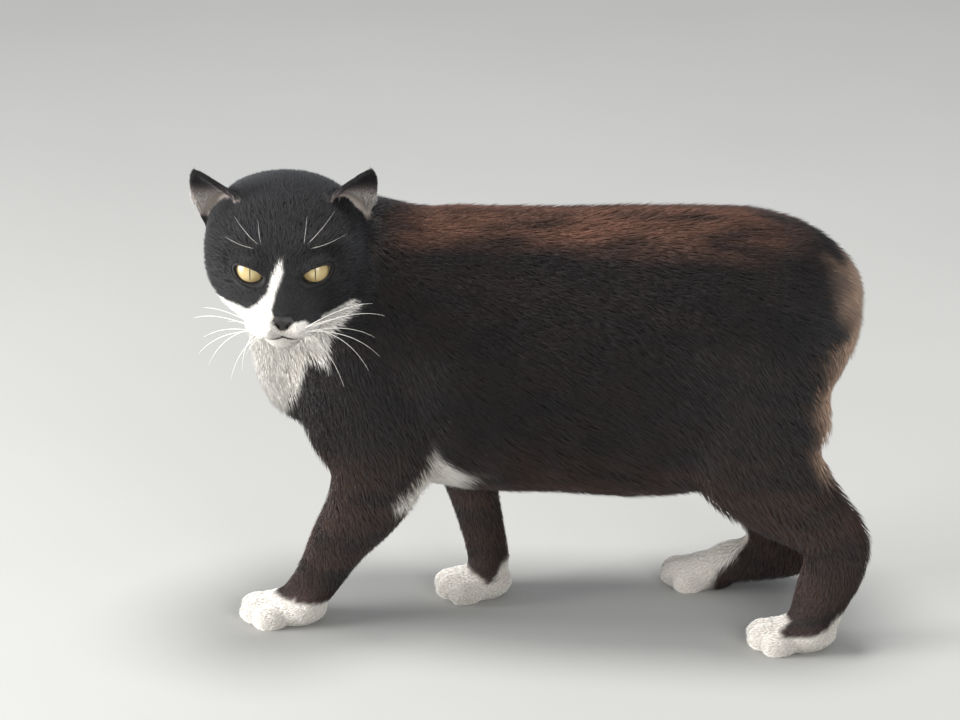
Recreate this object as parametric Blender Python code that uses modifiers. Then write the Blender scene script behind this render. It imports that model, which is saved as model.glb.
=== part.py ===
"""A Manx cat, life size, walking, with its head turned to its left. There is no tail.

Metres, +Z up. The cat faces -X, its left side faces -Y, and its soles lie on z = 0.
The forms are the outer surface of the coat. Lofted tubes and ellipsoids are fused and
smoothed into one body, the face is carved in it, and thin cuts part it into named nodes.
"""

import math

import bmesh
import bpy
from mathutils import Matrix, Vector
from mathutils.bvhtree import BVHTree

# Body
BACK_HEIGHT = 0.2710
BELLY_HEIGHT = 0.0875
RUMP_END = 0.1748
FLANK_HALF_WIDTH = 0.0660
NECK_HALF_WIDTH = 0.0430
EGG = 0.10

# Head, in its own frame: it faces -Y there, with +X to the cat's left
HEAD_PLACE = Vector((-0.1775, -0.0270, 0.2580))
HEAD_TURN = math.radians(5.5)
HEAD_NOD = math.radians(7)
CHEEK_HALF_WIDTH = 0.0490
CROWN_HEIGHT = 0.0400
NOSE_TIP = Vector((0, -0.0700, -0.0240))

# Eyes
EYE_SPACING = 0.0380
EYE_RADIUS = 0.0105
EYE_SETBACK = -0.0398
EYE_TOE_OUT = math.radians(13)
LID_THICKNESS = 0.0025
OPENING_HALF_WIDTH = 0.0091
OPENING_TOP = 0.0043
OPENING_BOTTOM = 0.0050
OPENING_SLANT = math.radians(16)

# Ears
EAR_ROOT = Vector((0.0370, -0.0040, 0.0155))
EAR_TIP = Vector((0.0536, -0.0130, 0.0512))
EAR_FACING = Vector((0.50, -0.85, 0.05))
EAR_HALF_WIDTH = 0.0178
EAR_SLANT = 0.16
EAR_CUP_AT_ROOT = math.radians(78)
EAR_CUP_AT_TIP = math.radians(22)
EAR_THICKNESS = 0.0028

# Mouth and nostrils
LIP_LINE = (-0.0185, -0.0135, -0.0090, -0.0045, 0, 0.0045, 0.0090, 0.0135, 0.0185)
LIP_HEIGHTS = (-0.0328, -0.0345, -0.0352, -0.0344, -0.0322)
LIP_GROOVE = 0.0008
NOSTRIL_SPACING = 0.0076
NOSTRIL_RADII = (0.0021, 0.0030, 0.0014)

# Feet
PAW_HALF_WIDTH = 0.0170
TOE_NARROWNESS = 0.58
SOLE_SINK = 0.0015

# Making of the mesh
BODY_VOXEL = 0.0024
DETAIL_VOXEL = 0.0018
BODY_SMOOTHING = 24
DETAIL_SMOOTHING = 7
FACE_TRIANGLES = 2500
FOOT_TRIANGLES = 1500
TRUNK_TRIANGLES = 3300
GAP = 0.0003
RING_POINTS = 28
STEPS_BETWEEN = 4

# Blocks that part the limbs and the trunk: (name, low corner, high corner), (name, start, end)
LIMB_BLOCKS = (
    ("forepaw_left", (-0.24, -0.08, -0.01), (-0.14, -0.004, 0.0280)),
    ("forearm_left", (-0.24, -0.08, 0.0283), (-0.08, -0.008, 0.0862)),
    ("upper_arm_left", (-0.18, -0.08, 0.0865), (-0.08, -0.032, 0.2000)),
    ("forepaw_right", (-0.12, -0.0035, -0.01), (-0.02, 0.080, 0.0280)),
    ("forearm_right", (-0.14, 0.008, 0.0283), (-0.035, 0.080, 0.0862)),
    ("upper_arm_right", (-0.18, 0.032, 0.0865), (-0.06, 0.080, 0.2000)),
    ("hind_paw_left", (0.09, -0.08, -0.01), (0.20, -0.004, 0.0280)),
    ("metatarsus_left", (0.09, -0.08, 0.0283), (0.22, -0.004, 0.0560)),
    ("shank_left", (0.06, -0.08, 0.0563), (0.22, -0.004, 0.0875)),
    ("thigh_left", (0.06, -0.08, 0.0878), (0.22, -0.020, 0.2150)),
    ("hind_paw_right", (0.03, 0.004, -0.01), (0.088, 0.080, 0.0360)),
    ("metatarsus_right", (0.0883, 0.004, -0.01), (0.20, 0.080, 0.0360)),
    ("shank_right", (0.05, 0.004, 0.0363), (0.22, 0.080, 0.0780)),
    ("thigh_right", (0.05, 0.020, 0.0783), (0.22, 0.080, 0.2150)),
)
TRUNK_BLOCKS = (
    ("neck", -0.30, -0.1180),
    ("chest", -0.1177, -0.0450),
    ("belly", -0.0447, 0.0700),
)

BLACK_COAT = (0.012, 0.010, 0.010)
AMBER = (0.62, 0.38, 0.10)


def clear_scene():
    """Remove everything that the startup file holds."""
    for obj in list(bpy.data.objects):
        bpy.data.objects.remove(obj, do_unlink=True)


def new_collection(name, hidden=False):
    """A collection linked to the scene; a hidden one holds the cutters."""
    made = bpy.data.collections.new(name)
    made.hide_render = hidden
    bpy.context.scene.collection.children.link(made)
    return made


def material(name, colour, roughness):
    """A plain Principled BSDF."""
    made = bpy.data.materials.new(name)
    made.use_nodes = True
    shader = made.node_tree.nodes["Principled BSDF"]
    shader.inputs["Base Color"].default_value = (*colour, 1)
    shader.inputs["Roughness"].default_value = roughness
    return made


def mesh_object(name, bm, collection):
    """A mesh object made from a bmesh, which is freed."""
    mesh = bpy.data.meshes.new(name)
    bm.to_mesh(mesh)
    bm.free()
    made = bpy.data.objects.new(name, mesh)
    collection.objects.link(made)
    return made


def cutter_object(name, bm, collection):
    """A mesh object that only cuts."""
    made = mesh_object(name, bm, collection)
    made.hide_render = True
    made.display_type = "WIRE"
    return made


def settle(obj):
    """Apply an object's modifiers."""
    graph = bpy.context.evaluated_depsgraph_get()
    mesh = bpy.data.meshes.new_from_object(obj.evaluated_get(graph))
    obj.modifiers.clear()
    obj.data = mesh


def boolean(obj, other, operation):
    """Apply one exact Boolean."""
    cut = obj.modifiers.new("cut", "BOOLEAN")
    cut.object = other
    cut.operation = operation
    cut.solver = "EXACT"
    settle(obj)


def add_ellipsoid(bm, centre, radii, turn=None, place=None, segments=24):
    """A UV sphere stretched to three radii, turned about its centre, then moved by place."""
    matrix = (place or Matrix()) @ Matrix.Translation(centre) @ (turn or Matrix())
    matrix = matrix @ Matrix.Diagonal((*radii, 1))
    rows = segments * 2 // 3
    bmesh.ops.create_uvsphere(bm, u_segments=segments, v_segments=rows, radius=1, matrix=matrix)


def flowing(stations):
    """Stations added between the given ones along a Catmull-Rom curve."""
    rows = [(*station[0], *station[1:]) for station in stations]
    last = len(rows) - 1
    flow = []
    for i in range(last):
        before, here, there, after = (rows[max(min(i + k, last), 0)] for k in (-1, 0, 1, 2))
        for step in range(STEPS_BETWEEN):
            t = step / STEPS_BETWEEN
            row = []
            for a, b, c, d in zip(before, here, there, after):
                square = a - 2.5 * b + 2 * c - d / 2
                cube = 1.5 * (b - c) + (d - a) / 2
                row.append(b + t * (c - a) / 2 + t**2 * square + t**3 * cube)
            flow.append((Vector(row[:3]), *row[3:]))
    flow.append((Vector(rows[last][:3]), *rows[last][3:]))
    return flow


def rounded(value, fullness):
    """A sine or cosine bent towards a square section when the fullness is under 1."""
    return math.copysign(abs(value) ** fullness, value)


def add_tube(bm, stations, side=Vector((0, 1, 0)), fullness=1.0, along=None, egg=0.0,
             points=RING_POINTS):
    """A closed smooth tube through stations of (centre, half height, half width).

    The width runs along side as nearly as the path lets it. A fullness under 1 squares
    the section off, along holds every section square to one direction, and egg narrows
    the upper half.
    """
    flow = flowing(stations)
    rings = []
    for i, (centre, height, width) in enumerate(flow):
        ahead = along or flow[min(i + 1, len(flow) - 1)][0] - flow[max(i - 1, 0)][0]
        ahead = ahead.normalized()
        across = (side - side.dot(ahead) * ahead).normalized()
        up = ahead.cross(across)
        ring = []
        for step in range(points):
            angle = 2 * math.pi * step / points
            sideways = rounded(math.cos(angle), fullness) * (1 - egg * math.sin(angle))
            upwards = rounded(math.sin(angle), fullness)
            ring.append(bm.verts.new(centre + across * width * sideways + up * height * upwards))
        rings.append(ring)
    for near, far in zip(rings, rings[1:]):
        for i in range(points):
            j = (i + 1) % points
            bm.faces.new((near[i], near[j], far[j], far[i]))
    bm.faces.new(rings[0][::-1])
    bm.faces.new(rings[-1])


def add_profile(bm, profile, fullness, egg=0.0):
    """A tube along X through upright sections of (x, top, bottom, half width)."""
    stations = []
    for x, top, bottom, half_width in profile:
        stations.append(((x, 0, (top + bottom) / 2), (top - bottom) / 2, half_width))
    add_tube(bm, stations, fullness=fullness, along=Vector((1, 0, 0)), egg=egg)


def add_torso(bm):
    """Rib cage, belly and rump, deep and round, narrower along the spine."""
    add_profile(bm, (
        (-0.160, 0.225, 0.128, 0.030),
        (-0.148, 0.245, 0.112, 0.041),
        (-0.128, 0.262, 0.100, 0.050),
        (-0.092, 0.270, 0.090, 0.058),
        (-0.050, BACK_HEIGHT, 0.0870, 0.062),
        (-0.008, BACK_HEIGHT + 0.001, BELLY_HEIGHT, 0.065),
        (0.034, BACK_HEIGHT + 0.003, BELLY_HEIGHT - 0.001, FLANK_HALF_WIDTH),
        (0.074, BACK_HEIGHT + 0.004, BELLY_HEIGHT + 0.003, FLANK_HALF_WIDTH),
        (0.108, BACK_HEIGHT + 0.003, 0.104, 0.065),
        (0.136, 0.2662, 0.132, 0.061),
        (0.156, 0.2535, 0.158, 0.053),
        (0.168, 0.2405, 0.181, 0.042),
        (RUMP_END, 0.2270, 0.200, 0.028),
    ), fullness=0.92, egg=EGG)


def add_neck(bm):
    """Throat and bib hang under the head, and the nape runs from it to the withers."""
    throat = (
        ((-0.134, 0.000, 0.121), 0.024, NECK_HALF_WIDTH - 0.016),
        ((-0.138, 0.000, 0.132), 0.036, NECK_HALF_WIDTH - 0.007),
        ((-0.145, -0.001, 0.144), 0.048, NECK_HALF_WIDTH - 0.001),
        ((-0.151, -0.004, 0.166), 0.051, NECK_HALF_WIDTH),
        ((-0.156, -0.009, 0.188), 0.048, NECK_HALF_WIDTH),
        ((-0.163, -0.015, 0.211), 0.043, NECK_HALF_WIDTH - 0.002),
        ((-0.171, -0.021, 0.235), 0.038, NECK_HALF_WIDTH - 0.005),
    )
    scruff = (
        ((-0.092, 0.010, 0.205), 0.056, 0.048),
        ((-0.124, 0.012, 0.212), 0.054, 0.046),
        ((-0.150, 0.008, 0.222), 0.049, 0.042),
        ((-0.172, -0.004, 0.238), 0.042, 0.038),
        ((-0.189, -0.010, 0.250), 0.036, 0.036),
    )
    nape = (
        ((-0.085, 0.000, 0.222), 0.044, 0.050),
        ((-0.115, 0.001, 0.228), 0.043, 0.048),
        ((-0.142, 0.001, 0.238), 0.039, 0.042),
        ((-0.165, -0.006, 0.248), 0.034, 0.036),
    )
    add_tube(bm, throat, along=Vector((0, 0, 1)))
    add_tube(bm, nape)
    add_tube(bm, scruff)


def mirrored(point):
    """The same place on the head's other side."""
    return Vector((-point[0], point[1], point[2]))


def head_matrix():
    """Places the head's own frame on the body."""
    turn = Matrix.Rotation(HEAD_TURN, 4, "Z")
    nod = Matrix.Rotation(HEAD_NOD, 4, "X")
    return Matrix.Translation(HEAD_PLACE) @ turn @ nod


def add_head_pair(bm, centre, radii):
    """An ellipsoid on each side of the head."""
    add_ellipsoid(bm, centre, radii, place=head_matrix())
    add_ellipsoid(bm, mirrored(centre), radii, place=head_matrix())


def add_head_tube(bm, stations, fullness=1.0, along=None):
    """A tube whose stations are in the head's own frame."""
    place = head_matrix()
    turn = place.to_3x3()
    moved = [(place @ Vector(centre), height, width) for centre, height, width in stations]
    direction = turn @ along if along else None
    add_tube(bm, moved, side=turn @ Vector((1, 0, 0)), fullness=fullness, along=direction)


def add_skull(bm):
    """The head from nape to muzzle, in sections of (y, top, bottom, half width), and its bridge."""
    profile = (
        (0.044, 0.016, -0.018, 0.020),
        (0.034, 0.029, -0.032, 0.035),
        (0.018, 0.037, -0.042, 0.046),
        (0.002, CROWN_HEIGHT, -0.045, CHEEK_HALF_WIDTH),
        (-0.012, CROWN_HEIGHT - 0.001, -0.045, CHEEK_HALF_WIDTH + 0.0005),
        (-0.024, 0.034, -0.044, 0.0475),
        (-0.034, 0.025, -0.0430, 0.0415),
        (-0.043, 0.0125, -0.0420, 0.0325),
        (-0.051, 0.0000, -0.0412, 0.0250),
        (-0.059, -0.0110, -0.0400, 0.0215),
        (-0.066, -0.0190, -0.0370, 0.0175),
        (-0.0695, -0.0240, -0.0330, 0.0110),
    )
    stations = []
    for y, top, bottom, half_width in profile:
        stations.append(((0, y, (top + bottom) / 2), (top - bottom) / 2, half_width))
    add_head_tube(bm, stations, fullness=0.88, along=Vector((0, -1, 0)))
    add_head_tube(bm, (
        ((0, -0.026, 0.018), 0.011, 0.016),
        ((0, -0.036, 0.008), 0.012, 0.0135),
        ((0, -0.046, -0.004), 0.0105, 0.0105),
        ((0, -0.056, -0.0140), 0.0085, 0.0085),
        ((0, -0.064, -0.0205), 0.0060, 0.0070),
    ))
    brow = (
        ((0.0060, -0.0410, 0.0090), 0.0060, 0.0070),
        ((0.0150, -0.0405, 0.0130), 0.0065, 0.0070),
        ((0.0250, -0.0345, 0.0155), 0.0068, 0.0075),
        ((0.0350, -0.0240, 0.0145), 0.0060, 0.0075),
    )
    add_head_tube(bm, brow)
    add_head_tube(bm, [(mirrored(centre), height, width) for centre, height, width in brow])


def add_limb(bm, joints):
    """A limb's flesh: a tube through its joints, with a ball at its lower end."""
    add_tube(bm, joints, fullness=0.95)
    centre, height, width = joints[-1]
    add_ellipsoid(bm, centre, (height, width, height))


def add_forelimbs(bm):
    """The left foreleg reaches forward; the right one is at the end of its step."""
    add_limb(bm, (
        ((-0.106, -0.022, 0.222), 0.036, 0.026),
        ((-0.132, -0.031, 0.180), 0.038, 0.028),
        ((-0.132, -0.037, 0.150), 0.038, 0.027),
        ((-0.120, -0.041, 0.118), 0.034, 0.0240),
        ((-0.128, -0.039, 0.088), 0.0265, 0.0205),
        ((-0.145, -0.035, 0.060), 0.0200, 0.0170),
        ((-0.159, -0.032, 0.033), 0.0158, 0.0152),
        ((-0.169, -0.031, 0.019), 0.0145, 0.0150),
    ))
    add_limb(bm, (
        ((-0.106, 0.022, 0.222), 0.036, 0.026),
        ((-0.132, 0.031, 0.180), 0.038, 0.028),
        ((-0.122, 0.036, 0.150), 0.036, 0.027),
        ((-0.089, 0.038, 0.116), 0.028, 0.0230),
        ((-0.073, 0.034, 0.086), 0.0195, 0.0185),
        ((-0.063, 0.029, 0.052), 0.0155, 0.0153),
        ((-0.056, 0.024, 0.024), 0.0140, 0.0146),
    ))


def add_hindlimbs(bm):
    """The left hind leg stands back; the right one has come forward, with its hock low."""
    add_limb(bm, (
        ((0.106, -0.018, 0.225), 0.028, 0.020),
        ((0.110, -0.031, 0.195), 0.044, 0.033),
        ((0.1135, -0.038, 0.160), 0.0480, 0.0310),
        ((0.1150, -0.044, 0.130), 0.0450, 0.0260),
        ((0.1325, -0.045, 0.108), 0.0350, 0.0220),
        ((0.151, -0.044, 0.091), 0.0265, 0.0185),
        ((0.1665, -0.0425, 0.074), 0.0215, 0.0160),
        ((0.1640, -0.0415, 0.054), 0.0210, 0.0150),
        ((0.1575, -0.0410, 0.036), 0.0185, 0.0145),
        ((0.1530, -0.0405, 0.020), 0.0165, 0.0150),
    ))
    add_limb(bm, (
        ((0.106, 0.018, 0.225), 0.028, 0.020),
        ((0.104, 0.031, 0.190), 0.044, 0.033),
        ((0.096, 0.039, 0.152), 0.045, 0.0310),
        ((0.088, 0.046, 0.116), 0.038, 0.0260),
        ((0.104, 0.048, 0.084), 0.029, 0.0215),
        ((0.124, 0.048, 0.053), 0.0230, 0.0180),
        ((0.138, 0.048, 0.028), 0.0185, 0.0160),
        ((0.127, 0.0475, 0.0225), 0.0165, 0.0148),
        ((0.111, 0.047, 0.0190), 0.0152, 0.0145),
        ((0.096, 0.046, 0.0170), 0.0142, 0.0145),
    ))


def add_paw(bm, heel, heading, length):
    """Four toes fanned from a pad. The heel is on the floor, and heading turns it from -X."""
    place = Matrix.Translation((heel[0], heel[1], 0)) @ Matrix.Rotation(heading, 4, "Z")
    pad = length * 0.42
    add_ellipsoid(bm, (-pad, 0, 0.0105), (pad, PAW_HALF_WIDTH * 0.88, 0.0125), place=place)
    toes = ((-0.76, 0.68, 0.0084), (-0.27, 0.81, 0.0098), (0.27, 0.81, 0.0098), (0.76, 0.68, 0.0084))
    for sideways, reach, radius in toes:
        centre = (-length * reach, PAW_HALF_WIDTH * sideways, radius - SOLE_SINK)
        splay = Matrix.Rotation(-sideways * math.radians(16), 4, "Z")
        add_ellipsoid(bm, centre, (radius * 1.45, radius * TOE_NARROWNESS, radius), splay, place)


def add_paws(bm):
    """Left fore, right fore, left hind, right hind."""
    add_paw(bm, (-0.154, -0.031), math.radians(2), 0.052)
    add_paw(bm, (-0.041, 0.021), math.radians(10), 0.0445)
    add_paw(bm, (0.168, -0.041), math.radians(3), 0.053)
    add_paw(bm, (0.106, 0.045), math.radians(-2), 0.048)


def add_face(bm):
    """Lids, whisker pads, chin and nose leather."""
    lid = EYE_RADIUS + LID_THICKNESS
    add_head_pair(bm, (EYE_SPACING / 2, EYE_SETBACK, 0), (lid, lid, lid * 0.85))
    add_head_pair(bm, (0.0106, -0.0578, -0.0280), (0.0128, 0.0138, 0.0085))
    place = head_matrix()
    add_ellipsoid(bm, (0, -0.0545, -0.0390), (0.0110, 0.0115, 0.0062), place=place)
    add_ellipsoid(bm, NOSE_TIP + Vector((0, 0.0048, 0.0015)), (0.0068, 0.0052, 0.0048), place=place)
    add_head_pair(bm, NOSE_TIP + Vector((0.0040, 0.0055, 0.0002)), (0.0036, 0.0046, 0.0038))


def fused(name, bm, collection, voxel, rounds):
    """One closed skin round overlapping forms, smoothed."""
    bmesh.ops.recalc_face_normals(bm, faces=bm.faces)
    body = mesh_object(name, bm, collection)
    remesh = body.modifiers.new("fuse", "REMESH")
    remesh.mode = "VOXEL"
    remesh.voxel_size = voxel
    smooth = body.modifiers.new("smooth", "SMOOTH")
    smooth.iterations = rounds
    settle(body)
    return body


def region_of(point):
    """The region of the body that a point is in, for the size of its triangles."""
    local = head_matrix().inverted() @ point
    if local.y < -0.015 and abs(local.x) < 0.048 and -0.055 < local.z < 0.032:
        return "face"
    return "foot" if point.z < 0.022 else "trunk"


def thin(body, region, kept):
    """Bring the triangles of one region down to about the number to keep."""
    group = body.vertex_groups.new(name=region)
    inside = {v.index for v in body.data.vertices if region_of(v.co) == region}
    group.add(list(inside), 1.0, "REPLACE")
    sizes = [len(face.vertices) - 2 for face in body.data.polygons]
    found = 0
    for face, size in zip(body.data.polygons, sizes):
        found += size if inside.issuperset(face.vertices) else 0
    collapse = body.modifiers.new("thin", "DECIMATE")
    collapse.vertex_group = group.name
    collapse.ratio = 1 - (found - kept) / sum(sizes)
    settle(body)


def make_body(parts):
    """Base forms blended softly, then details blended lightly."""
    bm = bmesh.new()
    add_torso(bm)
    add_neck(bm)
    add_skull(bm)
    add_forelimbs(bm)
    add_hindlimbs(bm)
    base = fused("base", bm, parts, BODY_VOXEL, BODY_SMOOTHING)
    bm = bmesh.new()
    add_paws(bm)
    add_face(bm)
    bm.from_mesh(base.data)
    bpy.data.objects.remove(base)
    body = fused("body", bm, parts, DETAIL_VOXEL, DETAIL_SMOOTHING)
    thin(body, "trunk", TRUNK_TRIANGLES)
    thin(body, "foot", FOOT_TRIANGLES)
    thin(body, "face", FACE_TRIANGLES)
    return body


def eye_place(side):
    """The centre of one eye, with the slant of its opening."""
    centre = Matrix.Translation((side * EYE_SPACING / 2, EYE_SETBACK, 0))
    outwards = Matrix.Rotation(side * EYE_TOE_OUT, 4, "Z")
    return head_matrix() @ centre @ outwards @ Matrix.Rotation(-side * OPENING_SLANT, 4, "Y")


def add_opening(bm, side):
    """An almond prism that opens the lids, flatter above than below."""
    place = eye_place(side)
    outline = []
    for step in range(20):
        angle = 2 * math.pi * step / 20
        height = OPENING_TOP if math.sin(angle) > 0 else OPENING_BOTTOM
        outline.append((OPENING_HALF_WIDTH * math.cos(angle), height * rounded(math.sin(angle), 1.25)))
    near = [bm.verts.new(place @ Vector((x * 1.5, -0.022, z * 1.9))) for x, z in outline]
    far = []
    for x, z in outline:
        depth = math.sqrt((EYE_RADIUS - GAP) ** 2 - x**2 - z**2)
        far.append(bm.verts.new(place @ Vector((x, -depth, z))))
    for i in range(len(outline)):
        j = (i + 1) % len(outline)
        bm.faces.new((near[i], near[j], far[j], far[i]))
    for ring, y in ((near, -0.022), (far, 0)):
        middle = bm.verts.new(place @ Vector((0, y, 0)))
        for i in range(len(outline)):
            bm.faces.new((ring[i - 1], ring[i], middle))


def on_face(tree, x, z):
    """Where a line from the front meets the head at this place of its own frame."""
    place = head_matrix()
    start = place @ Vector((x, -0.12, z))
    ahead = place.to_3x3() @ Vector((0, 1, 0))
    return tree.ray_cast(start, ahead)[0]


def add_thread(bm, points):
    """A thin round bar through points, which carves a groove."""
    stations = [(point, LIP_GROOVE, LIP_GROOVE) for point in points]
    add_tube(bm, stations, side=Vector((0, 0, 1)), points=8)


def carve_face(body, cutters):
    """Open the sockets, the lids, the nostrils and the line of the mouth."""
    tree = BVHTree.FromObject(body, bpy.context.evaluated_depsgraph_get())
    bm = bmesh.new()
    lips = [on_face(tree, x, z) for x, z in zip(LIP_LINE, LIP_HEIGHTS + LIP_HEIGHTS[-2::-1])]
    add_thread(bm, lips)
    philtrum = [on_face(tree, 0, LIP_HEIGHTS[-1] + rise) for rise in (0, 0.002, 0.004)]
    add_thread(bm, philtrum)
    for side in (-1, 1):
        nostril = NOSE_TIP + Vector((side * NOSTRIL_SPACING / 2, -0.0010, -0.0018))
        turn = Matrix.Rotation(side * math.radians(20), 4, "Y")
        add_ellipsoid(bm, nostril, NOSTRIL_RADII, turn, head_matrix(), 12)
        socket = EYE_RADIUS + GAP
        centre = (side * EYE_SPACING / 2, EYE_SETBACK, 0)
        add_ellipsoid(bm, centre, (socket, socket, socket), None, head_matrix(), 20)
        add_opening(bm, side)
    bmesh.ops.recalc_face_normals(bm, faces=bm.faces)
    tools = cutter_object("face_tools", bm, cutters)
    cut = body.modifiers.new("carve", "BOOLEAN")
    cut.object = tools
    cut.operation = "DIFFERENCE"
    cut.use_self = True
    settle(body)


def make_eye(name, side, parts):
    """An eyeball in its socket."""
    bm = bmesh.new()
    centre = (side * EYE_SPACING / 2, EYE_SETBACK, 0)
    add_ellipsoid(bm, centre, (EYE_RADIUS, EYE_RADIUS, EYE_RADIUS), None, head_matrix(), 18)
    return mesh_object(name, bm, parts)


def ear_point(side, across, up):
    """A point of the ear's back surface, across from -1 to 1 and up from 0 to 1.

    The outer edge starts lower than the inner one.
    """
    axis = EAR_TIP - EAR_ROOT
    facing = (EAR_FACING - EAR_FACING.project(axis)).normalized()
    along = axis.cross(facing).normalized()
    half_width = EAR_HALF_WIDTH * (1 - max(up, 0) ** 1.6) ** 0.75 + 0.0006
    bend = EAR_CUP_AT_ROOT + (EAR_CUP_AT_TIP - EAR_CUP_AT_ROOT) * up
    radius = half_width / math.sin(bend)
    sideways = radius * math.sin(across * bend)
    sunk = radius * (math.cos(across * bend) - math.cos(bend))
    lowered = EAR_SLANT * sideways / EAR_HALF_WIDTH * (1 - up)
    point = EAR_ROOT + axis * (up - lowered) + along * sideways - facing * sunk
    return Vector((side * point.x, point.y, point.z))


def make_ear(name, side, head, parts):
    """A cupped shell that stands on the head, clear of it by the gap."""
    bm = bmesh.new()
    place = head_matrix()
    grid = []
    for row in range(-2, 10):
        grid.append([bm.verts.new(place @ ear_point(side, k / 5, row / 9)) for k in range(-5, 6)])
    for low, high in zip(grid, grid[1:]):
        for k in range(10):
            bm.faces.new((low[k], low[k + 1], high[k + 1], high[k]))
    ear = mesh_object(name, bm, parts)
    shell = ear.modifiers.new("shell", "SOLIDIFY")
    shell.thickness = EAR_THICKNESS
    shell.offset = 0
    settle(ear)
    boolean(ear, head, "DIFFERENCE")
    return ear


def copied(obj, name, collection):
    """A copy with a mesh of its own."""
    made = obj.copy()
    made.data = obj.data.copy()
    made.name = name
    collection.objects.link(made)
    return made


def grown_copy(body, collection):
    """A cutter that stands off the body by the gap."""
    grown = copied(body, "grown", collection)
    grown.hide_render = True
    grown.display_type = "WIRE"
    swell = grown.modifiers.new("swell", "DISPLACE")
    swell.strength = GAP
    swell.mid_level = 0
    settle(grown)
    return grown


def keep_largest(obj):
    """Drop every closed surface but the largest."""
    bm = bmesh.new()
    bm.from_mesh(obj.data)
    left = set(bm.verts)
    islands = []
    while left:
        reached = {left.pop()}
        edge = list(reached)
        while edge:
            for link in edge.pop().link_edges:
                for vertex in link.verts:
                    if vertex in left:
                        left.discard(vertex)
                        reached.add(vertex)
                        edge.append(vertex)
        islands.append(reached)
    largest = max(islands, key=len)
    strays = [vertex for vertex in bm.verts if vertex not in largest]
    bmesh.ops.delete(bm, geom=strays, context="VERTS")
    bm.to_mesh(obj.data)
    bm.free()


def block(name, low, high, cutters, place=None):
    """A box between two corners, which parts the body."""
    bm = bmesh.new()
    low = Vector(low)
    high = Vector(high)
    matrix = (place or Matrix()) @ Matrix.Translation((low + high) / 2)
    bmesh.ops.create_cube(bm, size=1, matrix=matrix @ Matrix.Diagonal((*(high - low), 1)))
    return cutter_object(name, bm, cutters)


def part_off(rest, name, low, high, parts, cutters, place=None):
    """Make a node of what lies in a block, and clear a gap round it in the rest."""
    piece = copied(rest, name, parts)
    boolean(piece, block(name + "_block", low, high, cutters, place), "INTERSECT")
    keep_largest(piece)
    gap = Vector((GAP, GAP, GAP))
    wider = block(name + "_slot", Vector(low) - gap, Vector(high) + gap, cutters, place)
    boolean(rest, wider, "DIFFERENCE")


def part_body(body, parts, cutters):
    """Head and limbs first, then the trunk from neck to rump."""
    head_low = (-0.09, -0.11, -0.0475)
    part_off(body, "head", head_low, (0.050, 0.036, 0.09), parts, cutters, head_matrix())
    for name, low, high in LIMB_BLOCKS:
        part_off(body, name, low, high, parts, cutters)
    for name, start, end in TRUNK_BLOCKS:
        part_off(body, name, (start, -0.1, 0.02), (end, 0.1, 0.4), parts, cutters)
    keep_largest(body)
    body.name = "rump"


def level_soles(body, cutters):
    """Cut the pads flat at the floor."""
    boolean(body, block("floor", (-0.4, -0.3, -0.1), (0.4, 0.3, 0), cutters), "DIFFERENCE")


def centre(objects):
    """Move everything so that the middle of its box is over the origin."""
    points = [vertex.co for obj in objects for vertex in obj.data.vertices]
    ends = [(min(p[axis] for p in points), max(p[axis] for p in points)) for axis in (0, 1)]
    shift = Vector((-sum(ends[0]) / 2, -sum(ends[1]) / 2, 0))
    for obj in objects:
        obj.data.transform(Matrix.Translation(shift))


def main():
    """Build the cat."""
    clear_scene()
    parts = new_collection("manx_cat")
    cutters = new_collection("cutters", hidden=True)
    body = make_body(parts)
    level_soles(body, cutters)
    grown = grown_copy(body, cutters)
    make_ear("ear_left", 1, grown, parts)
    make_ear("ear_right", -1, grown, parts)
    carve_face(body, cutters)
    part_body(body, parts, cutters)
    make_eye("eye_left", 1, parts)
    make_eye("eye_right", -1, parts)
    for obj in parts.objects:
        keep_largest(obj)
        colour, roughness = (AMBER, 0.1) if obj.name.startswith("eye") else (BLACK_COAT, 0.7)
        obj.data.materials.clear()
        obj.data.materials.append(material(obj.name, colour, roughness))
    centre(parts.objects)


if __name__ == "__main__":
    main()
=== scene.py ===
"""The looks of a life-size Manx cat: its skin, coat, eyes, lids and whiskers.

Laid out as an add-on and run as a script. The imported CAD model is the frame. One skin lies
inside the CAD solids by the depth of the coat, and tufts of fur that follow the lie of the
coat stand on it, so that their tips reach the CAD surface. Masks on the skin hold the
markings, and skin and coat share them.
"""

import math

import bmesh
import bpy
import numpy as np
from mathutils import Matrix, Vector
from mathutils.kdtree import KDTree


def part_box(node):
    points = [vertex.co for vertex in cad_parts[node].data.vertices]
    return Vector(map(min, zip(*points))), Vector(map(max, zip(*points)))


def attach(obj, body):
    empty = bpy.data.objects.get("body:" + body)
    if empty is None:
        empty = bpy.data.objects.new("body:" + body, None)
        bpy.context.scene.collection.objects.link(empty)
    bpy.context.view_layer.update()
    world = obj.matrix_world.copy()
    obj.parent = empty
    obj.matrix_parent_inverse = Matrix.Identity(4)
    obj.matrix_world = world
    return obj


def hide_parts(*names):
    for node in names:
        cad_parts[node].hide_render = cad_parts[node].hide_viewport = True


bl_info = {
    "name": "Manx Cat Coat",
    "version": (1, 0, 0),
    "blender": (4, 5, 0),
    "location": "3D View > Sidebar > Manx Cat",
    "description": "Dresses the packed model of a Manx cat in skin, fur, eyes and whiskers",
    "category": "Object",
}

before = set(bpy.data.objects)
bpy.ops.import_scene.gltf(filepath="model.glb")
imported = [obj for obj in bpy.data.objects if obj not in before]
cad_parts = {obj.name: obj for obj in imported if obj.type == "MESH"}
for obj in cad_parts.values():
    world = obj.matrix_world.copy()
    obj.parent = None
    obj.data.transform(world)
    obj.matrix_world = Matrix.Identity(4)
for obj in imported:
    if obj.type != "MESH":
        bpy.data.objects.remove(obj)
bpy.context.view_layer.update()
MM = 0.001

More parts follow.
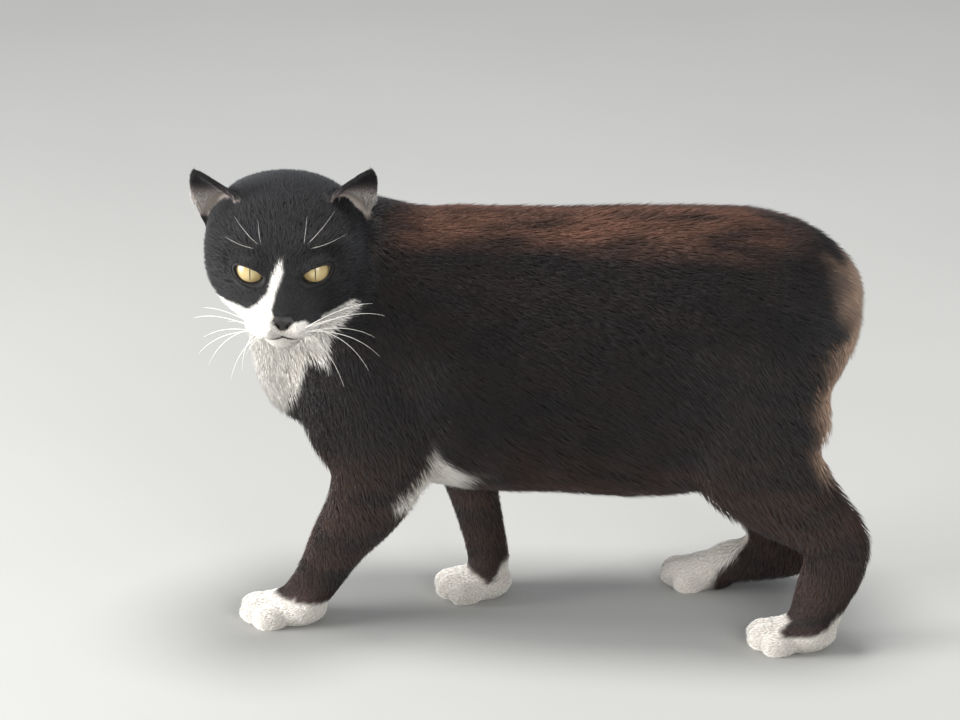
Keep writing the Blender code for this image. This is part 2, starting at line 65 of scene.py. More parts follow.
# The head's own frame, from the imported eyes: it faces -Y there, with +X to the cat's left
EYE_NODES = {1: "eye_left", -1: "eye_right"}
EYE_CENTRES = {side: sum(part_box(name), Vector()) / 2 for side, name in EYE_NODES.items()}
EYE_LINE = EYE_CENTRES[1] - EYE_CENTRES[-1]
EYE_RADIUS = (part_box("eye_left")[1].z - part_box("eye_left")[0].z) / 2
EYE_SETBACK = 0.0398
HEAD_NOD = math.radians(7)
HEAD_TURN = math.atan2(EYE_LINE.y, EYE_LINE.x)
HEAD_AXES = Matrix.Rotation(HEAD_TURN, 3, "Z") @ Matrix.Rotation(HEAD_NOD, 3, "X")
HEAD_PLACE = (EYE_CENTRES[1] + EYE_CENTRES[-1]) / 2 + HEAD_AXES @ Vector((0, EYE_SETBACK, 0))
EYE_TOE_OUT = math.radians(13)
OPENING_SLANT = math.radians(16)
OPENING_HALF_WIDTH = 0.0091
OPENING_TOP = 0.0043
OPENING_BOTTOM = 0.0050
EAR_FACING = np.array((0.50, -0.85, 0.05))
EAR_BASE_HEIGHT = 0.012
EAR_TIP_HEIGHT = 0.0512
# The gaze, the cornea that stands proud of the eyeball, and the slit in mm with the iris's spokes
GAZE_OUT = math.radians(4)
GAZE_DOWN = math.radians(9)
CORNEA_EDGE = (math.radians(50), math.radians(10))
CORNEA_BULGE = 0.00045
EYE_INSET = 0.0001
PUPIL_HALF_HEIGHT = 5.6
SPOKES_EACH_RADIAN = 14.0
LID_STEPS = 72
SORTING_AXIS = Vector((1.0, 2.7, 7.1))

# Making of the skin
SWELL = 0.00025
SKIN_VOXEL = 0.0011
BODY_SMOOTHING = 34
FACE_SMOOTHING = 5
TRUNK_TRIANGLES = 68000
REFINED_ROUND_EYE = 0.006
UNWRAP_ANGLE = math.radians(70)
UNWRAP_MARGIN = 0.001

# Face, in the head's frame, in millimetres
NOSE_TIP = (0, -70, -24)
LIP_LINE = ((-20, -32), (-13.5, -34.5), (-9, -35.2), (-4.5, -34.4), (0, -32.2),
            (4.5, -34.4), (9, -35.2), (13.5, -34.5), (20, -32))
PHILTRUM = ((0, -32.2), (0, -27.5))
NOSE_LEATHER = ((-5.2, -19.2), (5.2, -19.2), (6.4, -21.5), (4.2, -25.4), (1.2, -28.0),
                (-1.2, -28.0), (-4.2, -25.4), (-6.4, -21.5))
NOSTRIL = (4.2, -24.4)
NOSTRIL_SIZE = (2.0, 1.2)
NOSTRIL_SLANT = 0.55
LIP_WIDTH = 0.85
PHILTRUM_WIDTH = 0.55
PAD_CENTRE = (9, -28.5)
PAD_SIZE = (5, 4)
# How deep each is carved, and how far the pads swell beside the grooves
LIP_DEPTH = 1.9
PHILTRUM_DEPTH = 0.8
NOSTRIL_DEPTH = 3.2
PAD_SWELL = 0.9

# Markings. The face is seen from the front (x, z), the rest from the cat's left side (x, z), in mm
FACE_WHITE = ((-1, 10.5), (0.5, 3), (-1, -1), (-3.5, -6), (-5, -11), (-6.5, -16), (-5.5, -20), (-2, -23.5),
              (0.5, -26.5), (3.5, -25.5), (6.5, -22.5), (13.5, -22), (16, -24), (21, -24.5), (28, -28.5),
              (34, -30), (45, -29.5), (47, -32), (40, -39.5), (28.5, -49.5), (26, -70), (-60, -70),
              (-52, -28), (-42, -25), (-31.5, -23), (-22, -20), (-15, -14.5), (-9, -8), (-7, 0), (-4.5, 4.5))
BIB_WHITE = ((-108, 226), (-117, 210), (-127, 198), (-140, 181), (-144, 169), (-149, 154), (-160, 139),
             (-215, 139), (-215, 240), (-108, 240))
ARMPIT_WHITE = ((-59, 130), (-57, 123), (-50, 116), (-44, 110), (-45, 98), (-52, 80), (-75, 80), (-86, 88),
                (-80, 95), (-70, 105), (-64, 111), (-61, 123))
LEFT_FOREPAW_WHITE = ((-230, 25), (-176, 25), (-164, 21), (-153, 19), (-145, 18), (-118, 17), (-118, -5),
                      (-230, -5))
RIGHT_FOREPAW_WHITE = ((-90, 26), (-53, 25), (-46, 21), (-38, 18), (-32, 13), (-28, 17), (-23, 24),
                       (-10, 28), (-10, -5), (-90, -5))
LEFT_HINDPAW_WHITE = ((120, 27), (152, 24), (161, 21), (155, 16), (159, 13), (177, 13.5), (184, 16.5),
                      (191, 25), (206, 28), (206, -5), (120, -5))
RIGHT_HINDPAW_WHITE = ((60, 50), (125, 50), (131, 44), (132, 34), (123, 23), (114, 15), (111, 8),
                       (110, -5), (60, -5))
PAW_MARKS = {
    "forepaw_left": LEFT_FOREPAW_WHITE,
    "forepaw_right": RIGHT_FOREPAW_WHITE,
    "hind_paw_left": LEFT_HINDPAW_WHITE,
    "hind_paw_right": RIGHT_HINDPAW_WHITE,
    "metatarsus_right": RIGHT_HINDPAW_WHITE,
    "shank_right": RIGHT_HINDPAW_WHITE,
}

# Half the width of a marking's soft edge, in mm
FACE_EDGE = 0.6
PAW_EDGE = 0.8
BIB_EDGE = 1.5
# Browned hair on the back and the pale fringe at the rear, both with painted sunlight where the coat faces up
# or back towards the sun: where each begins and where it is full, in mm from end to end (x) and from the
# floor (z), and how far the coat faces up or back there. The fringe's edge wavers by a share of that facing
# and by some millimetres of height
BACK_HEIGHT = (250, 268)
BACK_FRONT = (-104, -66)
BACK_REAR = (190, 100)
BACK_FACING = (0.3, 0.8)
FRINGE_FACING = (0.40, 0.76)
FRINGE_REAR = (148, 168)
FRINGE_TOP = (258, 232)
FRINGE_FOOT = (102, 140)
FRINGE_WAVER = (0.05, 5)

# The coat by node: hair length and coat depth in mm, and the way that the hair lies
COAT_BY_NODE = {
    "neck": (13, 3.4, (0.45, 0.10, -1)),
    "chest": (14, 3.8, (1, 0, -0.42)),
    "belly": (14.5, 4.0, (1, 0, -0.35)),
    "rump": (15, 4.2, (1, 0, -0.45)),
    "upper_arm": (11, 3.0, (0.45, 0, -1)),
    "forearm": (7.5, 1.8, (0.25, 0, -1)),
    "forepaw": (3.3, 0.5, (-1, 0, -0.45)),
    "thigh": (12.5, 3.3, (0.75, 0, -1)),
    "shank": (9, 2.2, (0.35, 0, -1)),
    "metatarsus": (6.5, 1.5, (-0.25, 0, -1)),
    "hind_paw": (3.3, 0.5, (-1, 0, -0.45)),
    "head": (7.0, 1.9, (0, 1, 0)),
    "ear": (3.4, 0.35, (0, 0, 1)),
}
# On the face, in mm: the value at the nose, and what is added further out
FACE_LENGTH, FACE_LENGTH_GAIN = 2.4, 5.4
FACE_DEPTH, FACE_DEPTH_GAIN = 0.30, 1.5
CUP_LENGTH_GAIN = 4.5
# How far the lie of the coat sways, as an angle
COAT_SWAY = 0.13
# Each piece of the coat: the nodes that it covers, its number of tufts and their relative width
COAT_PIECES = {
    "coat_face": (("face",), 32600, 0.72),
    "coat_head": (("head", "ear"), 30000, 0.72),
    "coat_neck": (("neck",), 28000, 0.66),
    "coat_chest": (("chest",), 28000, 0.62),
    "coat_belly": (("belly",), 32600, 0.66),
    "coat_rump": (("rump",), 27000, 0.62),
    "coat_forelegs": (("upper_arm", "forearm", "forepaw"), 32600, 0.80),
    "coat_hindlegs": (("thigh", "shank", "metatarsus", "hind_paw"), 32600, 0.76),
}
# A tuft's width in mm, at no length and for each mm of length
TUFT_WIDTH, TUFT_WIDENING = 0.22, 0.050
DENSITY_CAP = 3.2
# A tuft's lift past the coat's rise, as an angle, and its length against the coat's
TUFT_LIFT = (-0.05, 0.09)
TUFT_GROWTH = (0.72, 1.12)
RISE_LIMITS = (0.02, 0.6)
# Where along a hair its colour is taken
HAIR_MIDDLE = 0.45
# Each of a tuft's random values is drawn apart from the others by its own number
TONE_DRAW, LIFT_DRAW, STRAY_DRAW, GROWTH_DRAW = 3, 5, 7, 11
FLOOR_CLEARANCE = 0.0002
PATCH_SIZE = 0.003
# Attributes of the skin and the tuft that no shader reads
SPENT_ATTRIBUTES = ("piece", "length", "width", "rise", "density", "lie", "outwards", "root_place", "patch",
                    "bare", "pit")

# Camera
CAMERA_AZIMUTH = math.radians(5)
CAMERA_ELEVATION = math.radians(22)
CAMERA_DISTANCE = 2.6
CAMERA_AIM = Vector((-0.0370, 0.0116, 0.170))
LENS_MM = 156
SENSOR_MM = 36


def linear(hex_colour):
    """An sRGB hex value as linear RGBA."""
    values = [int(hex_colour[i:i + 2], 16) / 255 for i in (1, 3, 5)]
    return (*[v / 12.92 if v <= 0.04045 else ((v + 0.055) / 1.055) ** 2.4 for v in values], 1.0)


def ramp(low, high, values):
    """0 below low, 1 above high and smooth between; low may be the larger."""
    t = np.clip((np.asarray(values, float) - low) / (high - low), 0, 1)
    return t * t * (3 - 2 * t)


def unit(vectors):
    """Vectors of length 1, row by row."""
    return vectors / (np.linalg.norm(vectors, axis=-1, keepdims=True) + 1e-12)


def to_head(points):
    """Points in the head's own frame, in millimetres."""
    return (points - np.array(HEAD_PLACE)) @ np.array(HEAD_AXES) / MM


def from_head(vectors):
    """Directions turned from the head's own frame."""
    return vectors @ np.array(HEAD_AXES).T


def line_distance(points, line, closed=False):
    """The distance of 2D points from a line through corners."""
    corners = np.array(line, float)
    ends = np.roll(corners, -1, axis=0)
    nearest = np.full(len(points), 1e9)
    for a, b in list(zip(corners, ends))[: len(corners) if closed else len(corners) - 1]:
        along = np.clip(((points - a) @ (b - a)) / ((b - a) @ (b - a)), 0, 1)
        nearest = np.minimum(nearest, np.linalg.norm(points - a - along[:, None] * (b - a), axis=1))
    return nearest


def inside(points, outline):
    """How far 2D points lie inside an outline; it is negative outside."""
    corners = np.array(outline, float)
    crossings = np.zeros(len(points), int)
    for a, b in zip(corners, np.roll(corners, -1, axis=0)):
        spans = (a[1] > points[:, 1]) != (b[1] > points[:, 1])
        rise = b[1] - a[1] if b[1] != a[1] else 1e-9
        crossings += spans & (points[:, 0] < a[0] + (points[:, 1] - a[1]) * (b[0] - a[0]) / rise)
    return np.where(crossings % 2 == 1, 1, -1) * line_distance(points, outline, closed=True)


def read(mesh_data, attribute, width, kind=np.float32):
    """One property of a mesh's elements as an array."""
    values = np.empty(len(mesh_data) * width, kind)
    mesh_data.foreach_get(attribute, values)
    return values.reshape(-1, width) if width > 1 else values


def store(mesh, name, values, kind="FLOAT"):
    """A named attribute on a mesh's points."""
    made = mesh.attributes.new(name, kind, "POINT")
    key = "vector" if kind == "FLOAT_VECTOR" else "value"
    made.data.foreach_set(key, np.ravel(values).astype(np.float32))


def averaged(values, edges, rounds, share=0.5):
    """Values diffused over the mesh; share may be one number or one for each point."""
    counts = np.maximum(np.bincount(edges.ravel(), minlength=len(values)), 1)
    values = np.array(values, float).reshape(len(values), -1)
    share = np.broadcast_to(np.asarray(share, float), len(values))
    near, far = edges[:, 0], edges[:, 1]
    for _ in range(rounds):
        for column in values.T:
            total = np.bincount(near, column[far], len(column)) + np.bincount(far, column[near], len(column))
            column += share * (total / counts - column)
    return values


def node(tree, kind, inputs=None, **settings):
    """A new node, or one that is there, with its settings, values and links. A link is a node, for
    its first live output, or a pair of a node and an output's name or number."""
    made = tree.nodes.new(kind) if isinstance(kind, str) else kind
    for name, value in settings.items():
        setattr(made, name, value)
    for key, value in (inputs or {}).items():
        if isinstance(value, bpy.types.Node):
            value = (value, next(i for i, output in enumerate(value.outputs) if output.enabled))
        if isinstance(value, tuple) and isinstance(value[0], bpy.types.Node):
            tree.links.new(value[0].outputs[value[1]], made.inputs[key])
        else:
            made.inputs[key].default_value = value
    return made


def new_material(name):
    """A material with its node tree and its Principled shader."""
    made = bpy.data.materials.new(name)
    made.use_nodes = True
    return made, made.node_tree, made.node_tree.nodes["Principled BSDF"]


def mesh_from(bm, name, turned=True):
    """A mesh from a bmesh, with its faces turned outwards unless they are left alone."""
    if turned:
        bmesh.ops.recalc_face_normals(bm, faces=bm.faces)
    mesh = bpy.data.meshes.new(name)
    bm.to_mesh(mesh)
    bm.free()
    return mesh


def new_object(name, mesh):
    """An object at the origin, linked to the scene."""
    made = bpy.data.objects.new(name, mesh)
    bpy.context.scene.collection.objects.link(made)
    return made


def settled(obj, name):
    """The mesh that an object's modifiers make, as a new object; the old one is removed."""
    graph = bpy.context.evaluated_depsgraph_get()
    mesh = bpy.data.meshes.new_from_object(obj.evaluated_get(graph))
    bpy.data.objects.remove(obj)
    mesh.name = name
    return new_object(name, mesh)


def finish_piece(obj, material, slot, *replaced):
    """Material, body and the CAD nodes that a piece stands for; the slot is not used."""
    obj.data.materials.clear()
    obj.data.materials.append(material)
    if replaced:
        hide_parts(*replaced)
    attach(obj, "root")


def coat_colour(tree, settings, *others):
    """The markings: black, sun-browned with painted sunlight on the back, tan with painted sunlight at the
    rump's edge, and white. It gives the colour and, by name, the masks and the other attributes that are
    asked for."""
    place = node(tree, "ShaderNodeTexCoord")
    masks = {name: (node(tree, "ShaderNodeAttribute", attribute_name=name), "Fac")
             for name in ("rust", "tan", "pink", "white", *others)}
    # Patches of browned hair and painted sunlight are 15 mm across and three times as long
    stretched = node(tree, "ShaderNodeVectorMath", {0: (place, "Object"), 1: (0.33, 1, 1)},
                     operation="MULTIPLY")
    patches = node(tree, "ShaderNodeTexNoise", {"Vector": stretched, "Scale": 65.0, "Detail": 3.0})
    uneven = node(tree, "ShaderNodeMapRange", {
        "Value": patches, "From Min": 0.30, "From Max": 0.68, "To Min": 0.15, "To Max": 1.0})
    browned_and_lit = node(tree, "ShaderNodeMath", {0: masks["rust"], 1: uneven}, operation="MULTIPLY")
    colour = node(tree, "ShaderNodeMix", {0: browned_and_lit, 6: settings.black, 7: settings.rust},
                  data_type="RGBA")
    for name, hair in (("tan", settings.tan), ("pink", settings.pink), ("white", settings.white)):
        colour = node(tree, "ShaderNodeMix", {0: masks[name], 6: colour, 7: hair}, data_type="RGBA")
    return colour, masks


def fur_material(settings):
    """Cat hair: keratin with a soft gloss along the shaft, so roughness is about 0.5, and a pale sheen."""
    made, tree, shader = new_material("black_and_white_cat_hair")
    colour, masks = coat_colour(tree, settings, "tone", "along")
    # Roots are painted darker, as painted shade where they lie in each other's shade, and tufts differ a
    # little in tone; white hair differs less
    tone = node(tree, "ShaderNodeMapRange", {"Value": masks["tone"], "To Min": 0.62, "To Max": 1.35})
    depth = node(tree, "ShaderNodeMapRange", {"Value": masks["along"], "To Min": 0.70, "To Max": 1.05})
    light = node(tree, "ShaderNodeMath", {0: tone, 1: depth}, operation="MULTIPLY")
    steady = node(tree, "ShaderNodeMapRange", {"Value": masks["white"], "To Min": 0.0, "To Max": 0.85})
    shade = node(tree, "ShaderNodeMix", {0: steady, 2: light, 3: 1.0}, data_type="FLOAT")
    grey = node(tree, "ShaderNodeCombineColor", {0: shade, 1: shade, 2: shade})
    toned = node(tree, "ShaderNodeMix", {0: 1.0, 6: colour, 7: grey}, data_type="RGBA", blend_type="MULTIPLY")
    node(tree, shader, {
        "Base Color": toned, "Roughness": 0.50, "Specular IOR Level": 0.34, "Sheen Weight": 0.09,
        "Sheen Roughness": 0.45, "Sheen Tint": linear("#d6dae2")})
    return made


def skin_material(settings):
    """Skin and underfur, matt; the bare nose has cobbled leather and a soft gloss."""
    made, tree, shader = new_material("cat_skin_and_underfur")
    place = node(tree, "ShaderNodeTexCoord")
    colour, masks = coat_colour(tree, settings, "bare", "pit")
    # The skin and underfur are painted a little darker than the hair over them, as painted shade deep in the
    # coat
    colour = node(tree, "ShaderNodeMix", {0: 1.0, 6: colour, 7: linear("#c9c2bc")},
                  data_type="RGBA", blend_type="MULTIPLY")
    # The bare nose leather and lips take their own dark colour, and the nostrils and the parting of the lips
    # are painted near black, as painted shade in these pits
    for name, tint in (("bare", "#1f1a19"), ("pit", "#070506")):
        colour = node(tree, "ShaderNodeMix", {0: masks[name], 6: colour, 7: linear(tint)}, data_type="RGBA")
    # Nose leather has cobbles about 0.5 mm across
    cobbles = node(tree, "ShaderNodeTexVoronoi", {"Vector": (place, "Object"), "Scale": 2000.0})
    hairs = node(tree, "ShaderNodeTexNoise", {"Vector": (place, "Object"), "Scale": 900.0, "Detail": 2.0})
    heights = node(tree, "ShaderNodeMix", {0: masks["bare"], 2: hairs, 3: (cobbles, "Distance")},
                   data_type="FLOAT")
    bump = node(tree, "ShaderNodeBump", {"Strength": 0.35, "Distance": 0.0003, "Height": heights})
    gloss = node(tree, "ShaderNodeMapRange", {"Value": masks["bare"], "To Min": 0.8, "To Max": 0.42})
    node(tree, shader, {"Base Color": colour, "Normal": bump, "Roughness": gloss})
    return made


def flesh_nodes():
    """Every CAD node that the skin stands for."""
    return [name for name in sorted(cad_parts) if not name.startswith("eye")]


def raw_flesh():
    """Copies of the flesh solids, each swollen across the thin cuts, in one mesh."""
    whole = bmesh.new()
    for name in flesh_nodes():
        part = bmesh.new()
        part.from_mesh(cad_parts[name].data)
        bmesh.ops.remove_doubles(part, verts=part.verts, dist=1e-6)
        part.normal_update()
        for vertex in part.verts:
            vertex.co += vertex.normal * SWELL
        swollen = mesh_from(part, "swollen", turned=False)
        whole.from_mesh(swollen)
        bpy.data.meshes.remove(swollen)
    return new_object("flesh", mesh_from(whole, "flesh", turned=False))


def face_weight(points):
    """1 on the front of the head and 0 elsewhere. The ranges are in the head's frame, in mm."""
    local = to_head(points)
    front = ramp(-6, -16, local[:, 1]) * ramp(-56, -46, local[:, 2]) * ramp(38, 30, local[:, 2])
    return front * ramp(54, 46, np.abs(local[:, 0])) * ramp(75, 60, np.linalg.norm(local, axis=1) - 15)


def ear_weight(points):
    """1 on the ears. The ranges are in the head's frame, in mm."""
    local = to_head(points)
    return ramp(24, 29, np.abs(local[:, 0])) * ramp(16, 22, local[:, 2]) * ramp(30, 24, np.abs(local[:, 1]))


def in_features(points):
    """True near the eyes, the nose and the mouth."""
    local = to_head(points)
    near = (np.abs(local[:, 0]) < 24) & (local[:, 1] < -42) & (local[:, 2] < -14) & (local[:, 2] > -44)
    for centre in EYE_CENTRES.values():
        near |= np.linalg.norm(points - np.array(centre), axis=1) < EYE_RADIUS + REFINED_ROUND_EYE
    return near


def thin_trunk(skin):
    """Fewer triangles everywhere but on the face and the ears."""
    points = read(skin.data.vertices, "co", 3)
    coarse = np.nonzero((face_weight(points) < 0.02) & (ear_weight(points) < 0.5))[0]
    group = skin.vertex_groups.new(name="coarse")
    group.add(coarse.tolist(), 1.0, "REPLACE")
    chosen = np.zeros(len(points), bool)
    chosen[coarse] = True
    corners = read(skin.data.loops, "vertex_index", 1, np.int32).reshape(-1, 4)
    found = 2 * int(chosen[corners].all(axis=1).sum())
    thin = skin.modifiers.new("thin", "DECIMATE")
    thin.vertex_group = group.name
    thin.ratio = 1 - (found - TRUNK_TRIANGLES) / (2 * len(corners))


def refine_features(skin):
    """Triangles halved in length round the eyes, the nose and the mouth."""
    mesh = skin.data
    near = in_features(read(mesh.vertices, "co", 3))
    bm = bmesh.new()
    bm.from_mesh(mesh)
    edges = [e for e in bm.edges if near[e.verts[0].index] and near[e.verts[1].index]]
    bmesh.ops.subdivide_edges(bm, edges=edges, cuts=1, use_grid_fill=True)
    bmesh.ops.triangulate(bm, faces=bm.faces)
    bm.to_mesh(mesh)
    bm.free()


def eye_axes(side):
    """The eye's own axes, with the slant of its opening."""
    toe_out = Matrix.Rotation(side * EYE_TOE_OUT, 3, "Z")
    return HEAD_AXES @ toe_out @ Matrix.Rotation(-side * OPENING_SLANT, 3, "Y")


def opening_distance(points, side):
    """How far points lie outside the opening of the lids, in metres, and their depth behind it."""
    local = (points - np.array(EYE_CENTRES[side])) @ np.array(eye_axes(side))
    height = np.where(local[:, 2] > 0, OPENING_TOP, OPENING_BOTTOM)
    across = local[:, 0] / OPENING_HALF_WIDTH
    size = np.sqrt(across**2 + (local[:, 2] / height) ** 2) + 1e-9
    radius = np.hypot(local[:, 0], local[:, 2])
    return radius - radius / size, local[:, 1]


def pits(points):
    """How deep points lie in the nostrils, the parting of the lips and the philtrum, from 0 to 1."""
    local = to_head(points)
    front = local[:, [0, 2]]
    lips = np.exp(-(line_distance(front, LIP_LINE) / LIP_WIDTH) ** 2) * ramp(-40, -46, local[:, 1])
    groove = np.exp(-(line_distance(front, PHILTRUM) / PHILTRUM_WIDTH) ** 2)
    groove = groove * ramp(-50, -56, local[:, 1])
    nostrils = np.zeros(len(points))
    for side in (-1, 1):
        across = (front[:, 0] - side * NOSTRIL[0]) * side
        upwards = front[:, 1] - NOSTRIL[1] - NOSTRIL_SLANT * across
        nostrils += np.exp(-((across / NOSTRIL_SIZE[0]) ** 2 + (upwards / NOSTRIL_SIZE[1]) ** 2) ** 1.5)
    return lips, groove, nostrils * ramp(-58, -61, local[:, 1])


def carved(points):
    """The points of the skin with the lips parted, the philtrum drawn and the nostrils sunk."""
    local = to_head(points)
    lips, groove, nostrils = pits(points)
    across = (np.abs(local[:, 0]) - PAD_CENTRE[0]) / PAD_SIZE[0]
    pads = np.exp(-across**2 - ((local[:, 2] - PAD_CENTRE[1]) / PAD_SIZE[1]) ** 2)
    pads *= ramp(-44, -52, local[:, 1])
    local[:, 1] += LIP_DEPTH * lips + PHILTRUM_DEPTH * groove + NOSTRIL_DEPTH * nostrils - PAD_SWELL * pads
    return from_head(local * MM) + np.array(HEAD_PLACE)


def nearest_nodes(points):
    """The CAD node nearest to each point."""
    names = []
    corners = []
    for name in flesh_nodes():
        found = read(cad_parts[name].data.vertices, "co", 3)
        corners.append(found)
        names += [name] * len(found)
    tree = KDTree(len(names))
    for i, corner in enumerate(np.concatenate(corners)):
        tree.insert(corner, i)
    tree.balance()
    return np.array([names[tree.find(point)[1]] for point in points])


def ear_cup(points, normals, edges, kinds):
    """How surely points lie in the cup of an ear, and how far up it, each from 0 to 1."""
    local = to_head(points)
    side = np.sign(local[:, [0]])
    facing = EAR_FACING * np.hstack([side, np.ones_like(side), np.ones_like(side)])
    turned = normals @ np.array(HEAD_AXES)
    cup = (kinds == "ear") * ramp(0.05, 0.45, (turned * unit(facing)).sum(1))
    cup = ramp(0.55, 0.90, averaged(cup, edges, 3)[:, 0])
    up = (local[:, 2] * MM - EAR_BASE_HEIGHT) / (EAR_TIP_HEIGHT - EAR_BASE_HEIGHT)
    return cup * ramp(-0.10, 0.10, up), np.clip(up, 0, 1)


def coat_fields(points, normals, edges, kinds, cup, up):
    """Length and depth of the coat in mm, its lie and the distance from the eyes at every point."""
    rows = np.array([(*COAT_BY_NODE[kind][:2], *COAT_BY_NODE[kind][2]) for kind in kinds], float)
    length, depth, lie = rows[:, 0], rows[:, 1], unit(rows[:, 2:])
    local = to_head(points)
    head = kinds == "head"
    # On the face the hair runs away from the nose, and on the crown it turns to the nape
    from_nose = local - np.array(NOSE_TIP) + np.array((0, 8, 0))
    reach = np.linalg.norm(from_nose, axis=1)
    face_lie = unit(from_nose) + ramp(45, 85, reach)[:, None] * np.array((0, 0.8, -0.5))
    lie[head] = from_head(unit(face_lie))[head]
    length[head] = (FACE_LENGTH + FACE_LENGTH_GAIN * ramp(12, 60, reach))[head]
    depth[head] = (FACE_DEPTH + FACE_DEPTH_GAIN * ramp(16, 62, reach))[head]
    outwards = np.stack([np.sign(local[:, 0]) * 0.45, -0.25 * np.ones(len(local)), np.ones(len(local))], 1)
    lie[kinds == "ear"] = from_head(unit(outwards))[kinds == "ear"]
    # At the rear of the rump the hair falls
    falls = ramp(0.5, 0.9, normals[:, 0]) * ramp(150, 175, points[:, 0] / MM)
    lie = lie + falls[:, None] * np.array((0.1, 0, -1.4))
    fields = averaged(np.column_stack([length, depth, lie]), edges, 10)
    length, depth, lie = fields[:, 0], fields[:, 1], fields[:, 2:]
    # The cup of the ear has long hairs at its foot
    length += cup * CUP_LENGTH_GAIN * ramp(0.60, 0.15, up)
    near_eye = np.full(len(points), 1e9)
    for side, centre in EYE_CENTRES.items():
        away, behind = opening_distance(points, side)
        away = np.where(behind < 0, away / MM, 1e9)
        near_eye = np.minimum(near_eye, away)
        # Round the lids the hair turns from the eye
        lie += 1.3 * ramp(6, 1.5, away)[:, None] * unit(points - np.array(centre))
    length *= 0.55 + 0.45 * ramp(1, 7, near_eye)
    depth *= ramp(0.5, 6, near_eye) * ramp(0.4, 3.0, points[:, 2] / MM)
    lie = averaged(lie, edges, 10)
    lie = unit(lie - (lie * normals).sum(1)[:, None] * normals)
    # The coat sways a little from place to place, over 30 to 60 mm
    x, y, z = points.T
    sway = COAT_SWAY * np.sin(150 * x + 70 * z + 2 * np.sin(90 * z + 60 * y)) * ramp(4, 10, length)
    lie = lie * np.cos(sway)[:, None] + np.cross(normals, lie) * np.sin(sway)[:, None]
    return length, depth, lie, near_eye


def marking_masks(roots, points, normals, nodes, kinds, cup, up):
    """The masks from 0 to 1: white; rust and tan, which also hold painted sunlight; pink; bare; and pit, the
    painted shade in the nostrils and the parting of the lips. Hair takes its colour where its middle lies.
    """
    side_view = points[:, [0, 2]] / MM
    local = to_head(points)
    x, y, z = points.T / MM
    front_half = np.isin(kinds, ("head", "neck", "upper_arm", "chest"))
    on_face = inside(local[:, [0, 2]], FACE_WHITE)
    white = ramp(-FACE_EDGE, FACE_EDGE, on_face) * ramp(14, 6, local[:, 1]) * front_half
    # The bib reaches round the throat, further at its foot, and starts under the chin
    below = np.where(kinds == "head", ramp(-33, -38, local[:, 2]), 1)
    throat = ramp(0, 8, 45 - 55 * ramp(165, 225, z) - y) * below
    bib = ramp(-BIB_EDGE, BIB_EDGE, inside(side_view, BIB_WHITE))
    white = np.maximum(white, bib * throat * front_half)
    armpit = ramp(-BIB_EDGE, BIB_EDGE, inside(side_view, ARMPIT_WHITE)) * ramp(24, 16, y)
    white = np.maximum(white, armpit * np.isin(kinds, ("chest", "upper_arm", "forearm")))
    for name, outline in PAW_MARKS.items():
        white = np.maximum(white, ramp(-PAW_EDGE, PAW_EDGE, inside(side_view, outline)) * (nodes == name))
    # Browned hair with painted sunlight on the top of the back, fullest where the coat faces up
    back = ramp(*BACK_HEIGHT, z) * ramp(*BACK_FRONT, x) * ramp(*BACK_REAR, x)
    back = back * ramp(*BACK_FACING, normals[:, 2])
    # The legs are a little browner than the body
    limbs = 0.05 + 0.20 * ramp(150, 90, z)
    rust = np.maximum(back, limbs * ~np.isin(kinds, ("head", "ear")))
    # How far the coat faces back, whatever its slope
    backwards = normals[:, 0] / (np.hypot(normals[:, 0], normals[:, 1]) + 0.25)
    waver = np.sin(z / 5 + 2 * np.sin(y / 11)) + np.sin(y / 6 - z / 4)
    # The pale fringe at the rear, with painted sunlight where the coat faces back towards the sun
    rear = ramp(*FRINGE_FACING, backwards + FRINGE_WAVER[0] * waver) * ramp(*FRINGE_REAR, x)
    level = z + FRINGE_WAVER[1] * waver
    rear *= ramp(*FRINGE_TOP, level) * ramp(*FRINGE_FOOT, level) * np.isin(kinds, ("rump", "thigh"))
    # Long pale hairs stand in the foot of the ear's cup, and its upper third is dark
    white = np.maximum(white, 0.58 * cup**2 * ramp(0.66, 0.30, up))
    pink = cup**2 * ramp(0.80, 0.42, up)
    root = to_head(roots)
    lips, _, nostrils = pits(roots)
    bare = ramp(-0.5, 0.5, inside(root[:, [0, 2]], NOSE_LEATHER)) * ramp(-60, -62, root[:, 1])
    bare = np.maximum(bare, ramp(0.10, 0.35, lips))
    # The pit mask is painted shade, near black in the nostrils and the parting of the lips
    return {"white": white, "rust": rust, "tan": rear, "pink": pink, "bare": bare,
            "pit": np.maximum(nostrils, 0.8 * lips)}


def shared_out(mesh, points, length, weight, kinds):
    """Numbers each face's piece, and gives each point its tufts for each square metre and their width."""
    groups = {kind: i for i, (members, _, _) in enumerate(COAT_PIECES.values()) for kind in members}
    numbers = np.array([groups[kind] for kind in kinds])
    numbers[(face_weight(points) > 0.5) & (kinds == "head")] = groups["face"]
    _, counts, widths = (np.array(column, object) for column in zip(*COAT_PIECES.values()))
    width = (TUFT_WIDTH + TUFT_WIDENING * length) * widths.astype(float)[numbers]
    density = np.minimum(weight / (length * width), DENSITY_CAP * weight)
    corners = read(mesh.loops, "vertex_index", 1, np.int32).reshape(-1, 3)
    a, b, c = (points[corners[:, i]] for i in range(3))
    areas = np.linalg.norm(np.cross(b - a, c - a), axis=1) / 2
    on_face = numbers[corners[:, 0]]
    found = np.bincount(on_face, areas * density[corners].mean(1), len(counts))
    made = mesh.attributes.new("piece", "INT", "FACE")
    made.data.foreach_set("value", on_face.astype(np.int32))
    return density * (counts.astype(float) / found)[numbers], width * MM


